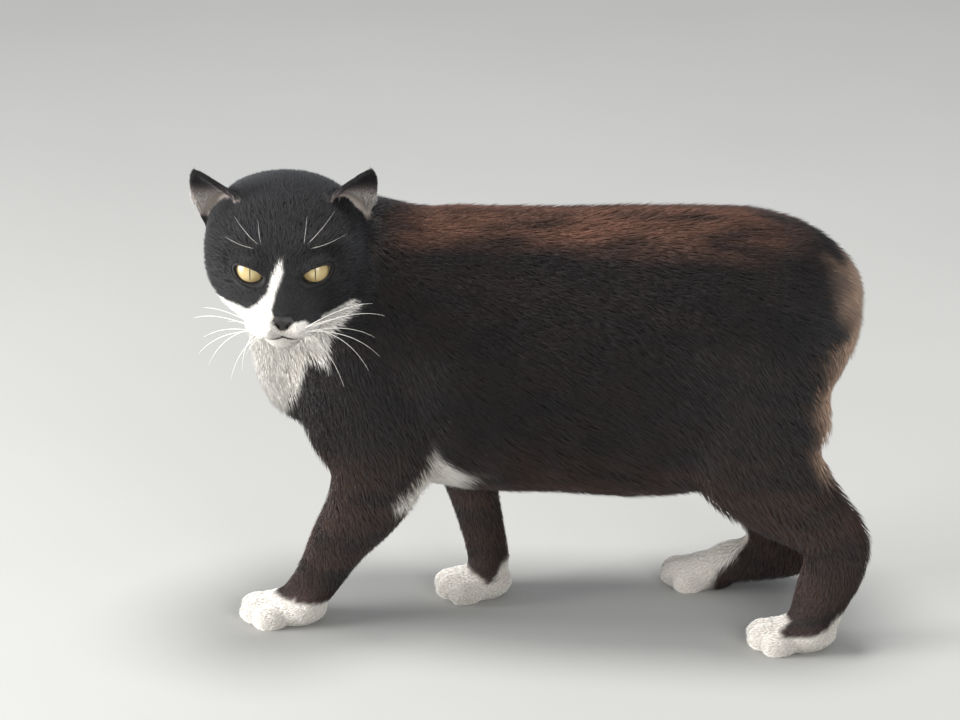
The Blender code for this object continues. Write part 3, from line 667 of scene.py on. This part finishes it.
def unwrap(obj):
    """The bake's map: an unwrap of the skin's own shape."""
    obj.data.uv_layers.new(name="OFBake")
    bpy.context.view_layer.objects.active = obj
    obj.select_set(True)
    bpy.ops.object.mode_set(mode="EDIT")
    bpy.ops.mesh.select_all(action="SELECT")
    bpy.ops.uv.smart_project(angle_limit=UNWRAP_ANGLE, island_margin=UNWRAP_MARGIN)
    bpy.ops.object.mode_set(mode="OBJECT")
    obj.select_set(False)


def shaped_skin():
    """One closed skin round the flesh, smooth on the body and sharp on face, ears and toes."""
    flesh = raw_flesh()
    fuse = flesh.modifiers.new("fuse", "REMESH")
    fuse.mode = "VOXEL"
    fuse.voxel_size = SKIN_VOXEL
    skin = settled(flesh, "skin")
    points = read(skin.data.vertices, "co", 3)
    edges = read(skin.data.edges, "vertices", 2, np.int32)
    fine = np.maximum(ear_weight(points), ramp(0.026, 0.018, points[:, 2]))
    kept = np.maximum(face_weight(points), fine)
    points = averaged(points, edges, BODY_SMOOTHING, 0.5 * (1 - kept))
    points = averaged(points, edges, FACE_SMOOTHING, 0.5 - 0.35 * fine)
    skin.data.vertices.foreach_set("co", points.astype(np.float32).ravel())
    thin_trunk(skin)
    skin = settled(skin, "skin")
    refine_features(skin)
    points = carved(read(skin.data.vertices, "co", 3).astype(float))
    skin.data.vertices.foreach_set("co", points.astype(np.float32).ravel())
    skin.data.update()
    return skin, points


def make_skin(settings):
    """The skin, inside the CAD solids by the depth of the coat, with its masks and fields."""
    skin, points = shaped_skin()
    mesh = skin.data
    normals = read(mesh.vertex_normals, "vector", 3).astype(float)
    edges = read(mesh.edges, "vertices", 2, np.int32)
    nodes = nearest_nodes(points)
    kinds = np.array([name.replace("_left", "").replace("_right", "") for name in nodes])
    cup, up = ear_cup(points, normals, edges, kinds)
    length, depth, lie, near_eye = coat_fields(points, normals, edges, kinds, cup, up)
    middles = points + lie * (HAIR_MIDDLE * length * MM)[:, None]
    masks = marking_masks(points, middles, normals, nodes, kinds, cup, up)
    # No hair grows on bare skin, within about 1.5 mm of an eye or under a sole, and little in an ear
    weight = ramp(0.5, 0.1, masks["bare"]) * ramp(1.1, 1.8, near_eye) * (1 - 0.6 * cup)
    weight *= ramp(0.3, 1.2, points[:, 2] / MM + 1.2 * (normals[:, 2] > -0.7))
    density, width = shared_out(mesh, points, length, weight, kinds)
    points = points - normals * depth[:, None] * MM
    points[:, 2] = np.maximum(points[:, 2], 0)
    mesh.vertices.foreach_set("co", points.astype(np.float32).ravel())
    rise = np.arcsin(np.clip(depth / length, *RISE_LIMITS))
    for name, values in (*masks.items(), ("length", length * MM), ("width", width), ("rise", rise),
                         ("density", density)):
        store(mesh, name, values)
    store(mesh, "lie", lie, "FLOAT_VECTOR")
    store(mesh, "outwards", normals, "FLOAT_VECTOR")
    mesh.shade_smooth()
    unwrap(skin)
    finish_piece(skin, skin_material(settings), "black_coat", *flesh_nodes())


def tuft_shape():
    """A tuft as a thin closed spindle: a root point, a ring of three and a tip."""
    ring_at = 0.38
    corners = ((0, 0, -0.04), (-0.5, ring_at, 0.0), (0.5, ring_at, 0.0), (0, ring_at, 0.42), (0, 1, -0.10))
    faces = ((0, 1, 3), (0, 3, 2), (0, 2, 1), (4, 3, 1), (4, 2, 3), (4, 1, 2))
    bm = bmesh.new()
    points = [bm.verts.new(corner) for corner in corners]
    for face in faces:
        bm.faces.new([points[i] for i in face])
    mesh = mesh_from(bm, "tuft_shape")
    store(mesh, "along", [corner[1] for corner in corners])
    store(mesh, "patch", [(corner[0], corner[1] - 0.5, 0) for corner in corners], "FLOAT_VECTOR")
    made = new_object("tuft_shape", mesh)
    made.hide_render = True
    return made


def new_tree(name, inputs):
    """A Geometry Nodes tree with named inputs, and its group input."""
    tree = bpy.data.node_groups.new(name, "GeometryNodeTree")
    for way in ("INPUT", "OUTPUT"):
        tree.interface.new_socket(name="Geometry", in_out=way, socket_type="NodeSocketGeometry")
    for key, (kind, value) in inputs.items():
        made = tree.interface.new_socket(name=key, in_out="INPUT", socket_type="NodeSocket" + kind)
        if value is not None:
            made.default_value = value
    return tree, node(tree, "NodeGroupInput")


def coat_tree():
    """Scatters tufts over the skin, lays them along its field and maps each to its root's place."""
    tree, given = new_tree("fur_tufts", {
        "Tuft": ("Object", None), "Piece": ("Int", 0), "Scatter": ("Float", 0.2),
        "Patch Size": ("Float", PATCH_SIZE), "Seed": ("Int", 1), "Material": ("Material", None)})
    kinds = {
        "INT": ("piece",),
        "FLOAT": ("density", "length", "width", "rise"),
        "FLOAT_VECTOR": ("OFBake", "lie", "outwards", "patch", "root_place"),
    }
    fields = {name: node(tree, "GeometryNodeInputNamedAttribute", {"Name": name}, data_type=kind)
              for kind, names in kinds.items() for name in names}
    chosen = node(tree, "FunctionNodeCompare", {2: fields["piece"], 3: (given, "Piece")},
                  data_type="INT", operation="EQUAL")
    scattered = node(tree, "GeometryNodeDistributePointsOnFaces", {
        "Mesh": (given, "Geometry"), "Selection": chosen, "Density": fields["density"],
        "Seed": (given, "Seed")})
    rooted = node(tree, "GeometryNodeStoreNamedAttribute", {
        "Geometry": (scattered, "Points"), "Name": "root_place", "Value": fields["OFBake"]},
        data_type="FLOAT_VECTOR", domain="POINT")
    cleared = node(tree, "GeometryNodeRemoveAttribute", {"Geometry": rooted, "Name": "OFBake"})
    tone = node(tree, "FunctionNodeRandomValue", {2: 0.0, 3: 1.0, 8: TONE_DRAW}, data_type="FLOAT")
    toned = node(tree, "GeometryNodeStoreNamedAttribute", {
        "Geometry": cleared, "Name": "tone", "Value": tone}, data_type="FLOAT", domain="POINT")
    upright = node(tree, "FunctionNodeAlignRotationToVector", {"Vector": fields["outwards"]}, axis="Z")
    laid = node(tree, "FunctionNodeAlignRotationToVector", {"Rotation": upright, "Vector": fields["lie"]},
                axis="Y", pivot_axis="Z")
    # Each tuft lifts by about the coat's rise and strays sideways by the scatter
    spread = node(tree, "ShaderNodeMath", {0: (given, "Scatter"), 1: -1.0}, operation="MULTIPLY")
    stray = node(tree, "FunctionNodeRandomValue", {2: spread, 3: (given, "Scatter"), 8: STRAY_DRAW},
                 data_type="FLOAT")
    lift = node(tree, "FunctionNodeRandomValue", {2: TUFT_LIFT[0], 3: TUFT_LIFT[1], 8: LIFT_DRAW},
                data_type="FLOAT")
    rise = node(tree, "ShaderNodeMath", {0: fields["rise"], 1: lift}, operation="ADD")
    tilt = node(tree, "ShaderNodeCombineXYZ", {"X": rise, "Z": stray})
    turn = node(tree, "FunctionNodeEulerToRotation", {"Euler": tilt})
    turned = node(tree, "FunctionNodeRotateRotation", {"Rotation": laid, "Rotate By": turn},
                  rotation_space="LOCAL")
    growth = node(tree, "FunctionNodeRandomValue", {2: TUFT_GROWTH[0], 3: TUFT_GROWTH[1], 8: GROWTH_DRAW},
                  data_type="FLOAT")
    long = node(tree, "ShaderNodeMath", {0: fields["length"], 1: growth}, operation="MULTIPLY")
    size = node(tree, "ShaderNodeCombineXYZ", {"X": fields["width"], "Y": long, "Z": fields["width"]})
    shape = node(tree, "GeometryNodeObjectInfo", {"Object": (given, "Tuft")})
    placed = node(tree, "GeometryNodeInstanceOnPoints", {
        "Points": toned, "Instance": (shape, "Geometry"), "Rotation": turned, "Scale": size})
    real = node(tree, "GeometryNodeRealizeInstances", {"Geometry": placed})
    # Each tuft's patch of the map lies at its root's place
    patch = node(tree, "ShaderNodeVectorMath", {0: fields["patch"], "Scale": (given, "Patch Size")},
                 operation="SCALE")
    spot = node(tree, "ShaderNodeVectorMath", {0: fields["root_place"], 1: patch}, operation="ADD")
    mapped = node(tree, "GeometryNodeStoreNamedAttribute", {
        "Geometry": real, "Name": "OFBake", "Value": spot}, data_type="FLOAT2", domain="CORNER")
    # No hair goes under the floor
    place = node(tree, "ShaderNodeSeparateXYZ", {0: node(tree, "GeometryNodeInputPosition")})
    lifted = node(tree, "ShaderNodeMath", {0: (place, 2), 1: FLOOR_CLEARANCE}, operation="MAXIMUM")
    kept = node(tree, "ShaderNodeCombineXYZ", {0: (place, 0), 1: (place, 1), 2: lifted})
    above = node(tree, "GeometryNodeSetPosition", {"Geometry": mapped, "Position": kept})
    smooth = node(tree, "GeometryNodeSetShadeSmooth", {"Geometry": above})
    dressed = node(tree, "GeometryNodeSetMaterial", {"Geometry": smooth, "Material": (given, "Material")})
    node(tree, "NodeGroupOutput", {"Geometry": dressed})
    return tree


def set_inputs(modifier, values):
    """Sets a Geometry Nodes modifier's inputs by their sockets' identifiers."""
    for item in modifier.node_group.interface.items_tree:
        if item.in_out == "INPUT" and item.name in values:
            modifier[item.identifier] = values[item.name]


def make_coat(settings):
    """The coat, in pieces of under 200,000 triangles."""
    skin = bpy.data.objects["skin"]
    tree = coat_tree()
    shape = tuft_shape()
    material = fur_material(settings)
    for number, name in enumerate(COAT_PIECES):
        carrier = new_object("carrier", skin.data.copy())
        tufts = carrier.modifiers.new("tufts", "NODES")
        tufts.node_group = tree
        set_inputs(tufts, {"Tuft": shape, "Piece": number, "Scatter": settings.scatter,
                           "Seed": settings.seed + number, "Material": material})
        piece = settled(carrier, name)
        for used in SPENT_ATTRIBUTES:
            if used in piece.data.attributes:
                piece.data.attributes.remove(piece.data.attributes[used])
        finish_piece(piece, material, "black_coat")
    bpy.data.objects.remove(shape)


def almond(angle, grown):
    """A point of the lids' opening, grown outwards by some metres."""
    height = OPENING_TOP if math.sin(angle) > 0 else OPENING_BOTTOM
    lift = math.copysign(abs(math.sin(angle)) ** (1.0 if math.sin(angle) > 0 else 1.2), math.sin(angle))
    point = Vector((OPENING_HALF_WIDTH * math.cos(angle), height * lift))
    away = Vector((math.cos(angle) * height, math.sin(angle) * OPENING_HALF_WIDTH)).normalized()
    return point + away * grown


def make_lids(side, name, material):
    """The dark rim of the lids, a closed band that runs round the opening on the eyeball."""
    # Each pair is the distance out from the opening and the height over the eyeball, in mm
    profile = ((-0.10, -0.4), (0.05, 0.10), (0.30, 0.55), (0.65, 0.85), (1.1, 0.90), (1.6, 0.55),
               (2.0, -0.1), (1.2, -0.6))
    axes = eye_axes(side)
    bm = bmesh.new()
    rings = []
    for out, height in profile:
        ring = []
        for step in range(LID_STEPS):
            x, z = almond(2 * math.pi * step / LID_STEPS, out * MM)
            radius = EYE_RADIUS + height * MM
            y = -math.sqrt(max(radius**2 - x**2 - z**2, 0))
            ring.append(bm.verts.new(EYE_CENTRES[side] + axes @ Vector((x, y, z))))
        rings.append(ring)
    for near, far in zip(rings, rings[1:] + rings[:1]):
        for i in range(LID_STEPS):
            j = (i + 1) % LID_STEPS
            bm.faces.new((near[i], near[j], far[j], far[i]))
    mesh = mesh_from(bm, name)
    mesh.shade_smooth()
    finish_piece(new_object(name, mesh), material, "black_coat")


def lid_material():
    """Bare lid margin: dark moist skin, so it is glossier than the nose."""
    made, tree, shader = new_material("dark_lid_margin")
    place = node(tree, "ShaderNodeTexCoord")
    # Creases of the lid are about 1 mm apart; the noise that raises the bump also paints the low creases
    # darker, as painted shade
    noise = node(tree, "ShaderNodeTexNoise", {"Vector": (place, "Object"), "Scale": 1000.0, "Detail": 2.0})
    colour = node(tree, "ShaderNodeMix", {0: noise, 6: linear("#0d0b0b"), 7: linear("#221c1b")},
                  data_type="RGBA")
    bump = node(tree, "ShaderNodeBump", {"Strength": 0.3, "Distance": 0.0002, "Height": noise})
    node(tree, shader, {"Base Color": colour, "Normal": bump, "Roughness": 0.38})
    return made


def eye_material(settings):
    """A living eye: pale amber iris with fine spokes, a slit pupil and a dark rim, under a wet cornea."""
    made, tree, shader = new_material("amber_eye")
    place = (node(tree, "ShaderNodeAttribute", attribute_name="gaze_place"), "Vector")
    parts = node(tree, "ShaderNodeSeparateXYZ", {0: place})
    flat = node(tree, "ShaderNodeCombineXYZ", {0: (parts, 0), 2: (parts, 2)})
    radius = (node(tree, "ShaderNodeVectorMath", {0: flat}, operation="LENGTH"), "Value")
    angle = node(tree, "ShaderNodeMath", {0: (parts, 0), 1: (parts, 2)}, operation="ARCTAN2")
    # About 90 spokes run from the pupil to the rim
    round_it = node(tree, "ShaderNodeMath", {0: angle, 1: SPOKES_EACH_RADIAN}, operation="MULTIPLY")
    outwards = node(tree, "ShaderNodeMath", {0: radius, 1: 0.6}, operation="MULTIPLY")
    spokes_at = node(tree, "ShaderNodeCombineXYZ", {0: round_it, 1: outwards})
    spokes = node(tree, "ShaderNodeTexNoise", {"Vector": spokes_at, "Scale": 1.0, "Detail": 4.0})
    colour = node(tree, "ShaderNodeMix", {0: spokes, 6: settings.iris_dark, 7: settings.iris},
                  data_type="RGBA")
    # Radius in mm where each ring begins and ends, and its colour: rim of the iris, white, round the pupil
    rings = ((6.9, 8.6, 1.0, "#3a2a14"), (8.5, 9.0, 1.0, "#8d7d70"), (4.2, 1.0, 0.4, "#d9cf9a"))
    for begin, end, amount, tint in rings:
        ring = node(tree, "ShaderNodeMapRange", {
            "Value": radius, "From Min": begin, "From Max": end, "To Max": amount})
        colour = node(tree, "ShaderNodeMix", {0: ring, 6: colour, 7: linear(tint)}, data_type="RGBA")
    slimming = (2 * MM / settings.pupil_width, 0, 1 / PUPIL_HALF_HEIGHT)
    slim = node(tree, "ShaderNodeVectorMath", {0: flat, 1: slimming}, operation="MULTIPLY")
    slit = node(tree, "ShaderNodeMapRange", {
        "Value": (node(tree, "ShaderNodeVectorMath", {0: slim}, operation="LENGTH"), "Value"),
        "From Min": 0.80, "From Max": 1.10})
    colour = node(tree, "ShaderNodeMix", {0: slit, 6: linear("#060505"), 7: colour}, data_type="RGBA")
    node(tree, shader, {
        "Base Color": colour, "Roughness": 0.30, "Coat Weight": 1.0, "Coat Roughness": 0.03,
        "Coat IOR": 1.376})
    return made


def make_eye(side, name, material):
    """An eyeball with its cornea standing a little proud, turned to its gaze."""
    gaze = Matrix.Rotation(side * GAZE_OUT, 3, "Z") @ Matrix.Rotation(-GAZE_DOWN, 3, "X")
    axes = HEAD_AXES @ gaze
    bm = bmesh.new()
    pole = Matrix.Rotation(math.radians(90), 4, "X")
    bmesh.ops.create_uvsphere(bm, u_segments=64, v_segments=48, radius=1, matrix=pole)
    # The sphere's own order changes from run to run, so its elements are put in order by place
    bm.verts.sort(key=lambda vertex: vertex.co.dot(SORTING_AXIS))
    bm.edges.sort(key=lambda edge: (edge.verts[0].co + edge.verts[1].co).dot(SORTING_AXIS))
    bm.faces.sort(key=lambda face: face.calc_center_median().dot(SORTING_AXIS))
    places = []
    for vertex in bm.verts:
        direction = vertex.co.normalized()
        off_axis = math.acos(max(-1, min(1, -direction.y)))
        bulge = CORNEA_BULGE * float(ramp(*CORNEA_EDGE, off_axis))
        local = direction * (EYE_RADIUS - EYE_INSET + bulge)
        places.append(local / MM)
        vertex.co = EYE_CENTRES[side] + axes @ local
    mesh = mesh_from(bm, name)
    store(mesh, "gaze_place", places, "FLOAT_VECTOR")
    mesh.shade_smooth()
    finish_piece(new_object(name, mesh), material, "eye", EYE_NODES[side])


def on_skin(x, z):
    """The skin's surface in front of a place of the head's own frame, in metres."""
    start = HEAD_PLACE + HEAD_AXES @ (Vector((x, -120, z)) * MM)
    hit, spot, _, _ = bpy.data.objects["skin"].ray_cast(start, HEAD_AXES @ Vector((0, 1, 0)))
    if not hit:
        raise RuntimeError(f"no skin in front of {x}, {z}")
    return spot


# Whiskers of the left side, in the head's frame in mm: root (x, z) and how far the tip lies (out, back, up)
PAD_WHISKERS = (
    ((11, -26.3), (26, 13, 0)), ((14, -25.3), (40, 21, 5)), ((18, -26), (43, 23, -5)),
    ((13, -28), (42, 21, -15)), ((17, -28.3), (41, 17, -27)), ((20, -28.8), (31, 15, -37)),
    ((13, -30.2), (23, 10, -41)), ((17, -31), (10, 7, -33)), ((9.5, -29.5), (15, 8, -20)),
)
BROW_WHISKERS = (((13, 16.5), (2, 6, 16)), ((14.5, 16.5), (17, 11, 17)), ((16.5, 14.5), (22, 10, 5)))
WHISKER_STEPS = 14
# Those of the right side are a little shorter, as the turned head foreshortens them
WHISKER_REACH = {1: 1.0, -1: 0.85}


def whisker_paths():
    """Points of each whisker and its thickness against the thickest."""
    paths = []
    # The bow (out, back, up) is a share of the length; brow hairs rise off the forehead first
    kinds = ((PAD_WHISKERS, (0.05, -0.05, 0.12), 1.0), (BROW_WHISKERS, (0.0, -0.20, 0.04), 0.4))
    for side, reach in WHISKER_REACH.items():
        for whiskers, bow, thickness in kinds:
            for (x, z), tip in whiskers:
                root = on_skin(side * x, z)
                across = Vector((side * tip[0], tip[1], tip[2])) * reach * MM
                bend = Vector((side * bow[0], bow[1], bow[2])) * across.length * 4
                path = []
                for step in range(WHISKER_STEPS + 1):
                    t = step / WHISKER_STEPS
                    path.append(root + HEAD_AXES @ (across * t + bend * t * (1 - t)))
                paths.append((path, thickness))
    return paths


def whisker_tree():
    """A tapering round hair along each curve, as thick as the curve's radius says."""
    tree, given = new_tree("whisker_hairs", {
        "Root Radius": ("Float", 0.0002), "Tip Share": ("Float", 0.25), "Material": ("Material", None)})
    along = node(tree, "GeometryNodeSplineParameter")
    taper = node(tree, "ShaderNodeMapRange", {
        "Value": (along, "Factor"), "To Min": 1.0, "To Max": (given, "Tip Share")})
    thickness = node(tree, "GeometryNodeInputNamedAttribute", {"Name": "radius"}, data_type="FLOAT")
    thin = node(tree, "ShaderNodeMath", {0: taper, 1: thickness}, operation="MULTIPLY")
    radius = node(tree, "ShaderNodeMath", {0: thin, 1: (given, "Root Radius")}, operation="MULTIPLY")
    profile = node(tree, "GeometryNodeCurvePrimitiveCircle", {"Resolution": 6, "Radius": 1.0})
    hair = node(tree, "GeometryNodeCurveToMesh", {
        "Curve": (given, "Geometry"), "Profile Curve": profile, "Scale": radius, "Fill Caps": True})
    smooth = node(tree, "GeometryNodeSetShadeSmooth", {"Geometry": hair})
    real = node(tree, "GeometryNodeRealizeInstances", {"Geometry": smooth})
    dressed = node(tree, "GeometryNodeSetMaterial", {"Geometry": real, "Material": (given, "Material")})
    node(tree, "NodeGroupOutput", {"Geometry": dressed})
    return tree


def whisker_material():
    """Whiskers: stiff white keratin with a smooth shaft, a little yellow in places."""
    made, tree, shader = new_material("white_whisker_keratin")
    place = node(tree, "ShaderNodeTexCoord")
    # The tone changes faintly every 8 mm or so
    noise = node(tree, "ShaderNodeTexNoise", {"Vector": (place, "Object"), "Scale": 120.0})
    colour = node(tree, "ShaderNodeMix", {0: noise, 6: linear("#f7f4ee"), 7: linear("#e6e0d4")},
                  data_type="RGBA")
    node(tree, shader, {"Base Color": colour, "Roughness": 0.35})
    return made


def make_whiskers(settings):
    """Whiskers of both pads and both brows as one piece."""
    curve = bpy.data.curves.new("whiskers", "CURVE")
    curve.dimensions = "3D"
    for path, thickness in whisker_paths():
        spline = curve.splines.new("POLY")
        spline.points.add(len(path) - 1)
        for point, spot in zip(spline.points, path):
            point.co = (*spot, 1)
            point.radius = thickness
    material = whisker_material()
    carrier = new_object("whisker_curves", curve)
    hairs = carrier.modifiers.new("hairs", "NODES")
    hairs.node_group = whisker_tree()
    set_inputs(hairs, {"Root Radius": settings.whisker_radius, "Material": material})
    finish_piece(settled(carrier, "whiskers"), material, "black_coat")


def make_floor(settings):
    """A plain pale floor."""
    bm = bmesh.new()
    bmesh.ops.create_grid(bm, x_segments=8, y_segments=8, size=6)
    mesh = mesh_from(bm, "floor", turned=False)
    made, tree, shader = new_material("pale_matt_floor")
    place = node(tree, "ShaderNodeTexCoord")
    # Broad faint clouds, a third of a metre across
    noise = node(tree, "ShaderNodeTexNoise", {"Vector": (place, "Object"), "Scale": 3.0, "Detail": 2.0})
    colour = node(tree, "ShaderNodeMix", {0: noise, 6: settings.floor, 7: linear("#abaaa6")},
                  data_type="RGBA")
    node(tree, shader, {"Base Color": colour, "Roughness": 0.9})
    mesh.materials.append(made)
    new_object("floor", mesh)


def make_stage(settings):
    """Floor, soft lights and the camera."""
    make_floor(settings)
    # Place, aim, size and power of each light; the key hangs overhead and the fill is low in front
    lights = {
        "key": ((0.0, 0.05, 2.2), (0.0, 0.0, 0.18), 0.8, settings.key_power),
        "fill": ((-1.8, -0.45, 0.40), (-0.15, 0.0, 0.18), 0.9, settings.fill_power),
        "side": ((1.1, -2.3, 1.0), (0.05, 0.0, 0.2), 1.4, settings.side_power),
    }
    for name, (place, aim, size, power) in lights.items():
        lamp = bpy.data.lights.new(name, "AREA")
        lamp.shape = "DISK"
        lamp.size = size
        lamp.energy = power
        made = new_object(name, lamp)
        made.location = place
        made.rotation_euler = (Vector(aim) - Vector(place)).to_track_quat("-Z", "Y").to_euler()
    world = bpy.data.worlds.new("studio")
    world.use_nodes = True
    sky = world.node_tree
    node(sky, sky.nodes["Background"], {"Color": linear("#dfe4ea"), "Strength": settings.world_light})
    bpy.context.scene.world = world
    bpy.context.scene.view_settings.view_transform = "Standard"
    back = Vector((0, -math.cos(CAMERA_ELEVATION), math.sin(CAMERA_ELEVATION)))
    back.rotate(Matrix.Rotation(CAMERA_AZIMUTH, 3, "Z"))
    lens = bpy.data.cameras.new("camera")
    lens.lens = LENS_MM
    lens.sensor_width = SENSOR_MM
    camera = new_object("camera", lens)
    camera.location = CAMERA_AIM + back * CAMERA_DISTANCE
    camera.rotation_euler = back.to_track_quat("Z", "Y").to_euler()
    bpy.context.scene.camera = camera


def colour_property(name, description, hex_colour):
    """A colour setting, kept linear."""
    return bpy.props.FloatVectorProperty(name=name, description=description, subtype="COLOR", size=4,
                                         min=0, max=1, default=linear(hex_colour))


def number_property(name, description, default, high, **more):
    """A setting that is a number from 0 up."""
    return bpy.props.FloatProperty(name=name, description=description, default=default, min=0, max=high,
                                   **more)


class CoatSettings(bpy.types.PropertyGroup):
    """Colours and growth of the coat."""

    black: colour_property("Black", "Black hair, a little brown in the light", "#181413")
    # Rust is both sun-browned hair and painted sunlight on the back, and Tan is both a pale fringe and
    # painted sunlight at the rear of the rump
    rust: colour_property("Rust", "Hair that the sun has browned on the back", "#89604d")
    tan: colour_property("Tan", "Pale fringe at the rear of the rump", "#c4a58e")
    white: colour_property("White", "Blaze, muzzle, bib and paws", "#f3efe8")
    pink: colour_property("Ear Skin", "Skin in the cup of the ear", "#77696a")
    scatter: number_property("Scatter", "How far tufts stray from the lie of the coat", math.radians(13), 1.0,
                             subtype="ANGLE")
    seed: bpy.props.IntProperty(name="Seed", description="Where the tufts fall", default=11, min=0)


class FaceSettings(bpy.types.PropertyGroup):
    """Eyes and whiskers."""

    iris: colour_property("Iris", "Pale spokes of the iris", "#ccb683")
    iris_dark: colour_property("Iris Dark", "Dark spokes of the iris", "#9c8450")
    pupil_width: number_property("Pupil Width", "Width of the slit", 0.0007, 0.008, precision=5,
                                 unit="LENGTH")
    # Real whiskers are 0.3 mm thick at the root, and these are drawn thicker so that they show
    whisker_radius: number_property("Whisker Radius", "At the root of the thickest", 0.00024, 0.001,
                                    precision=5, unit="LENGTH")


class StageSettings(bpy.types.PropertyGroup):
    """Floor and lights."""

    floor: colour_property("Floor", "Plain pale floor", "#b4b3af")
    key_power: number_property("Key", "Power of the key light", 42.0, 1000.0, unit="POWER")
    fill_power: number_property("Fill", "Power of the fill light", 64.0, 1000.0, unit="POWER")
    side_power: number_property("Side", "Power of the light on the flank", 34.0, 1000.0, unit="POWER")
    world_light: number_property("Sky", "Strength of the light from all round", 0.62, 10.0)


class MANX_OT_skin(bpy.types.Operator):
    """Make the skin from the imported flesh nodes"""

    bl_idname = "manx.skin"
    bl_label = "Make Skin"

    def execute(self, context):
        make_skin(context.scene.manx_coat)
        return {"FINISHED"}


class MANX_OT_coat(bpy.types.Operator):
    """Scatter the tufts of the coat over the skin"""

    bl_idname = "manx.coat"
    bl_label = "Grow Coat"

    def execute(self, context):
        make_coat(context.scene.manx_coat)
        return {"FINISHED"}


class MANX_OT_eyes(bpy.types.Operator):
    """Make both eyes and the rims of their lids"""

    bl_idname = "manx.eyes"
    bl_label = "Make Eyes"

    def execute(self, context):
        eye = eye_material(context.scene.manx_face)
        lid = lid_material()
        for side, name in ((1, "left"), (-1, "right")):
            make_eye(side, "eyeball_" + name, eye)
            make_lids(side, "lids_" + name, lid)
        return {"FINISHED"}


class MANX_OT_whiskers(bpy.types.Operator):
    """Make the whiskers of the pads and the brows"""

    bl_idname = "manx.whiskers"
    bl_label = "Make Whiskers"

    def execute(self, context):
        make_whiskers(context.scene.manx_face)
        return {"FINISHED"}


class MANX_OT_stage(bpy.types.Operator):
    """Set the floor, the lights and the camera"""

    bl_idname = "manx.stage"
    bl_label = "Set Stage"

    def execute(self, context):
        make_stage(context.scene.manx_stage)
        return {"FINISHED"}


OPERATORS = (MANX_OT_skin, MANX_OT_coat, MANX_OT_eyes, MANX_OT_whiskers, MANX_OT_stage)


class MANX_PT_panel(bpy.types.Panel):
    """Lists the steps and their settings"""

    bl_label = "Manx Cat"
    bl_idname = "MANX_PT_panel"
    bl_space_type = "VIEW_3D"
    bl_region_type = "UI"
    bl_category = "Manx Cat"

    def draw(self, context):
        for group in (context.scene.manx_coat, context.scene.manx_face, context.scene.manx_stage):
            column = self.layout.column(align=True)
            for name in group.__annotations__:
                column.prop(group, name)
        for operator in OPERATORS:
            self.layout.operator(operator.bl_idname)


SETTINGS = {"manx_coat": CoatSettings, "manx_face": FaceSettings, "manx_stage": StageSettings}
CLASSES = (*SETTINGS.values(), *OPERATORS, MANX_PT_panel)


def register():
    """Adds the classes and the scene's settings."""
    for made in CLASSES:
        bpy.utils.register_class(made)
    for name, group in SETTINGS.items():
        setattr(bpy.types.Scene, name, bpy.props.PointerProperty(type=group))


def unregister():
    """Takes them away again."""
    for name in SETTINGS:
        delattr(bpy.types.Scene, name)
    for made in reversed(CLASSES):
        bpy.utils.unregister_class(made)


def main():
    """Makes every piece in order."""
    register()
    bpy.ops.manx.skin()
    bpy.ops.manx.coat()
    bpy.ops.manx.eyes()
    bpy.ops.manx.whiskers()
    bpy.ops.manx.stage()


if __name__ == "__main__":
    main()
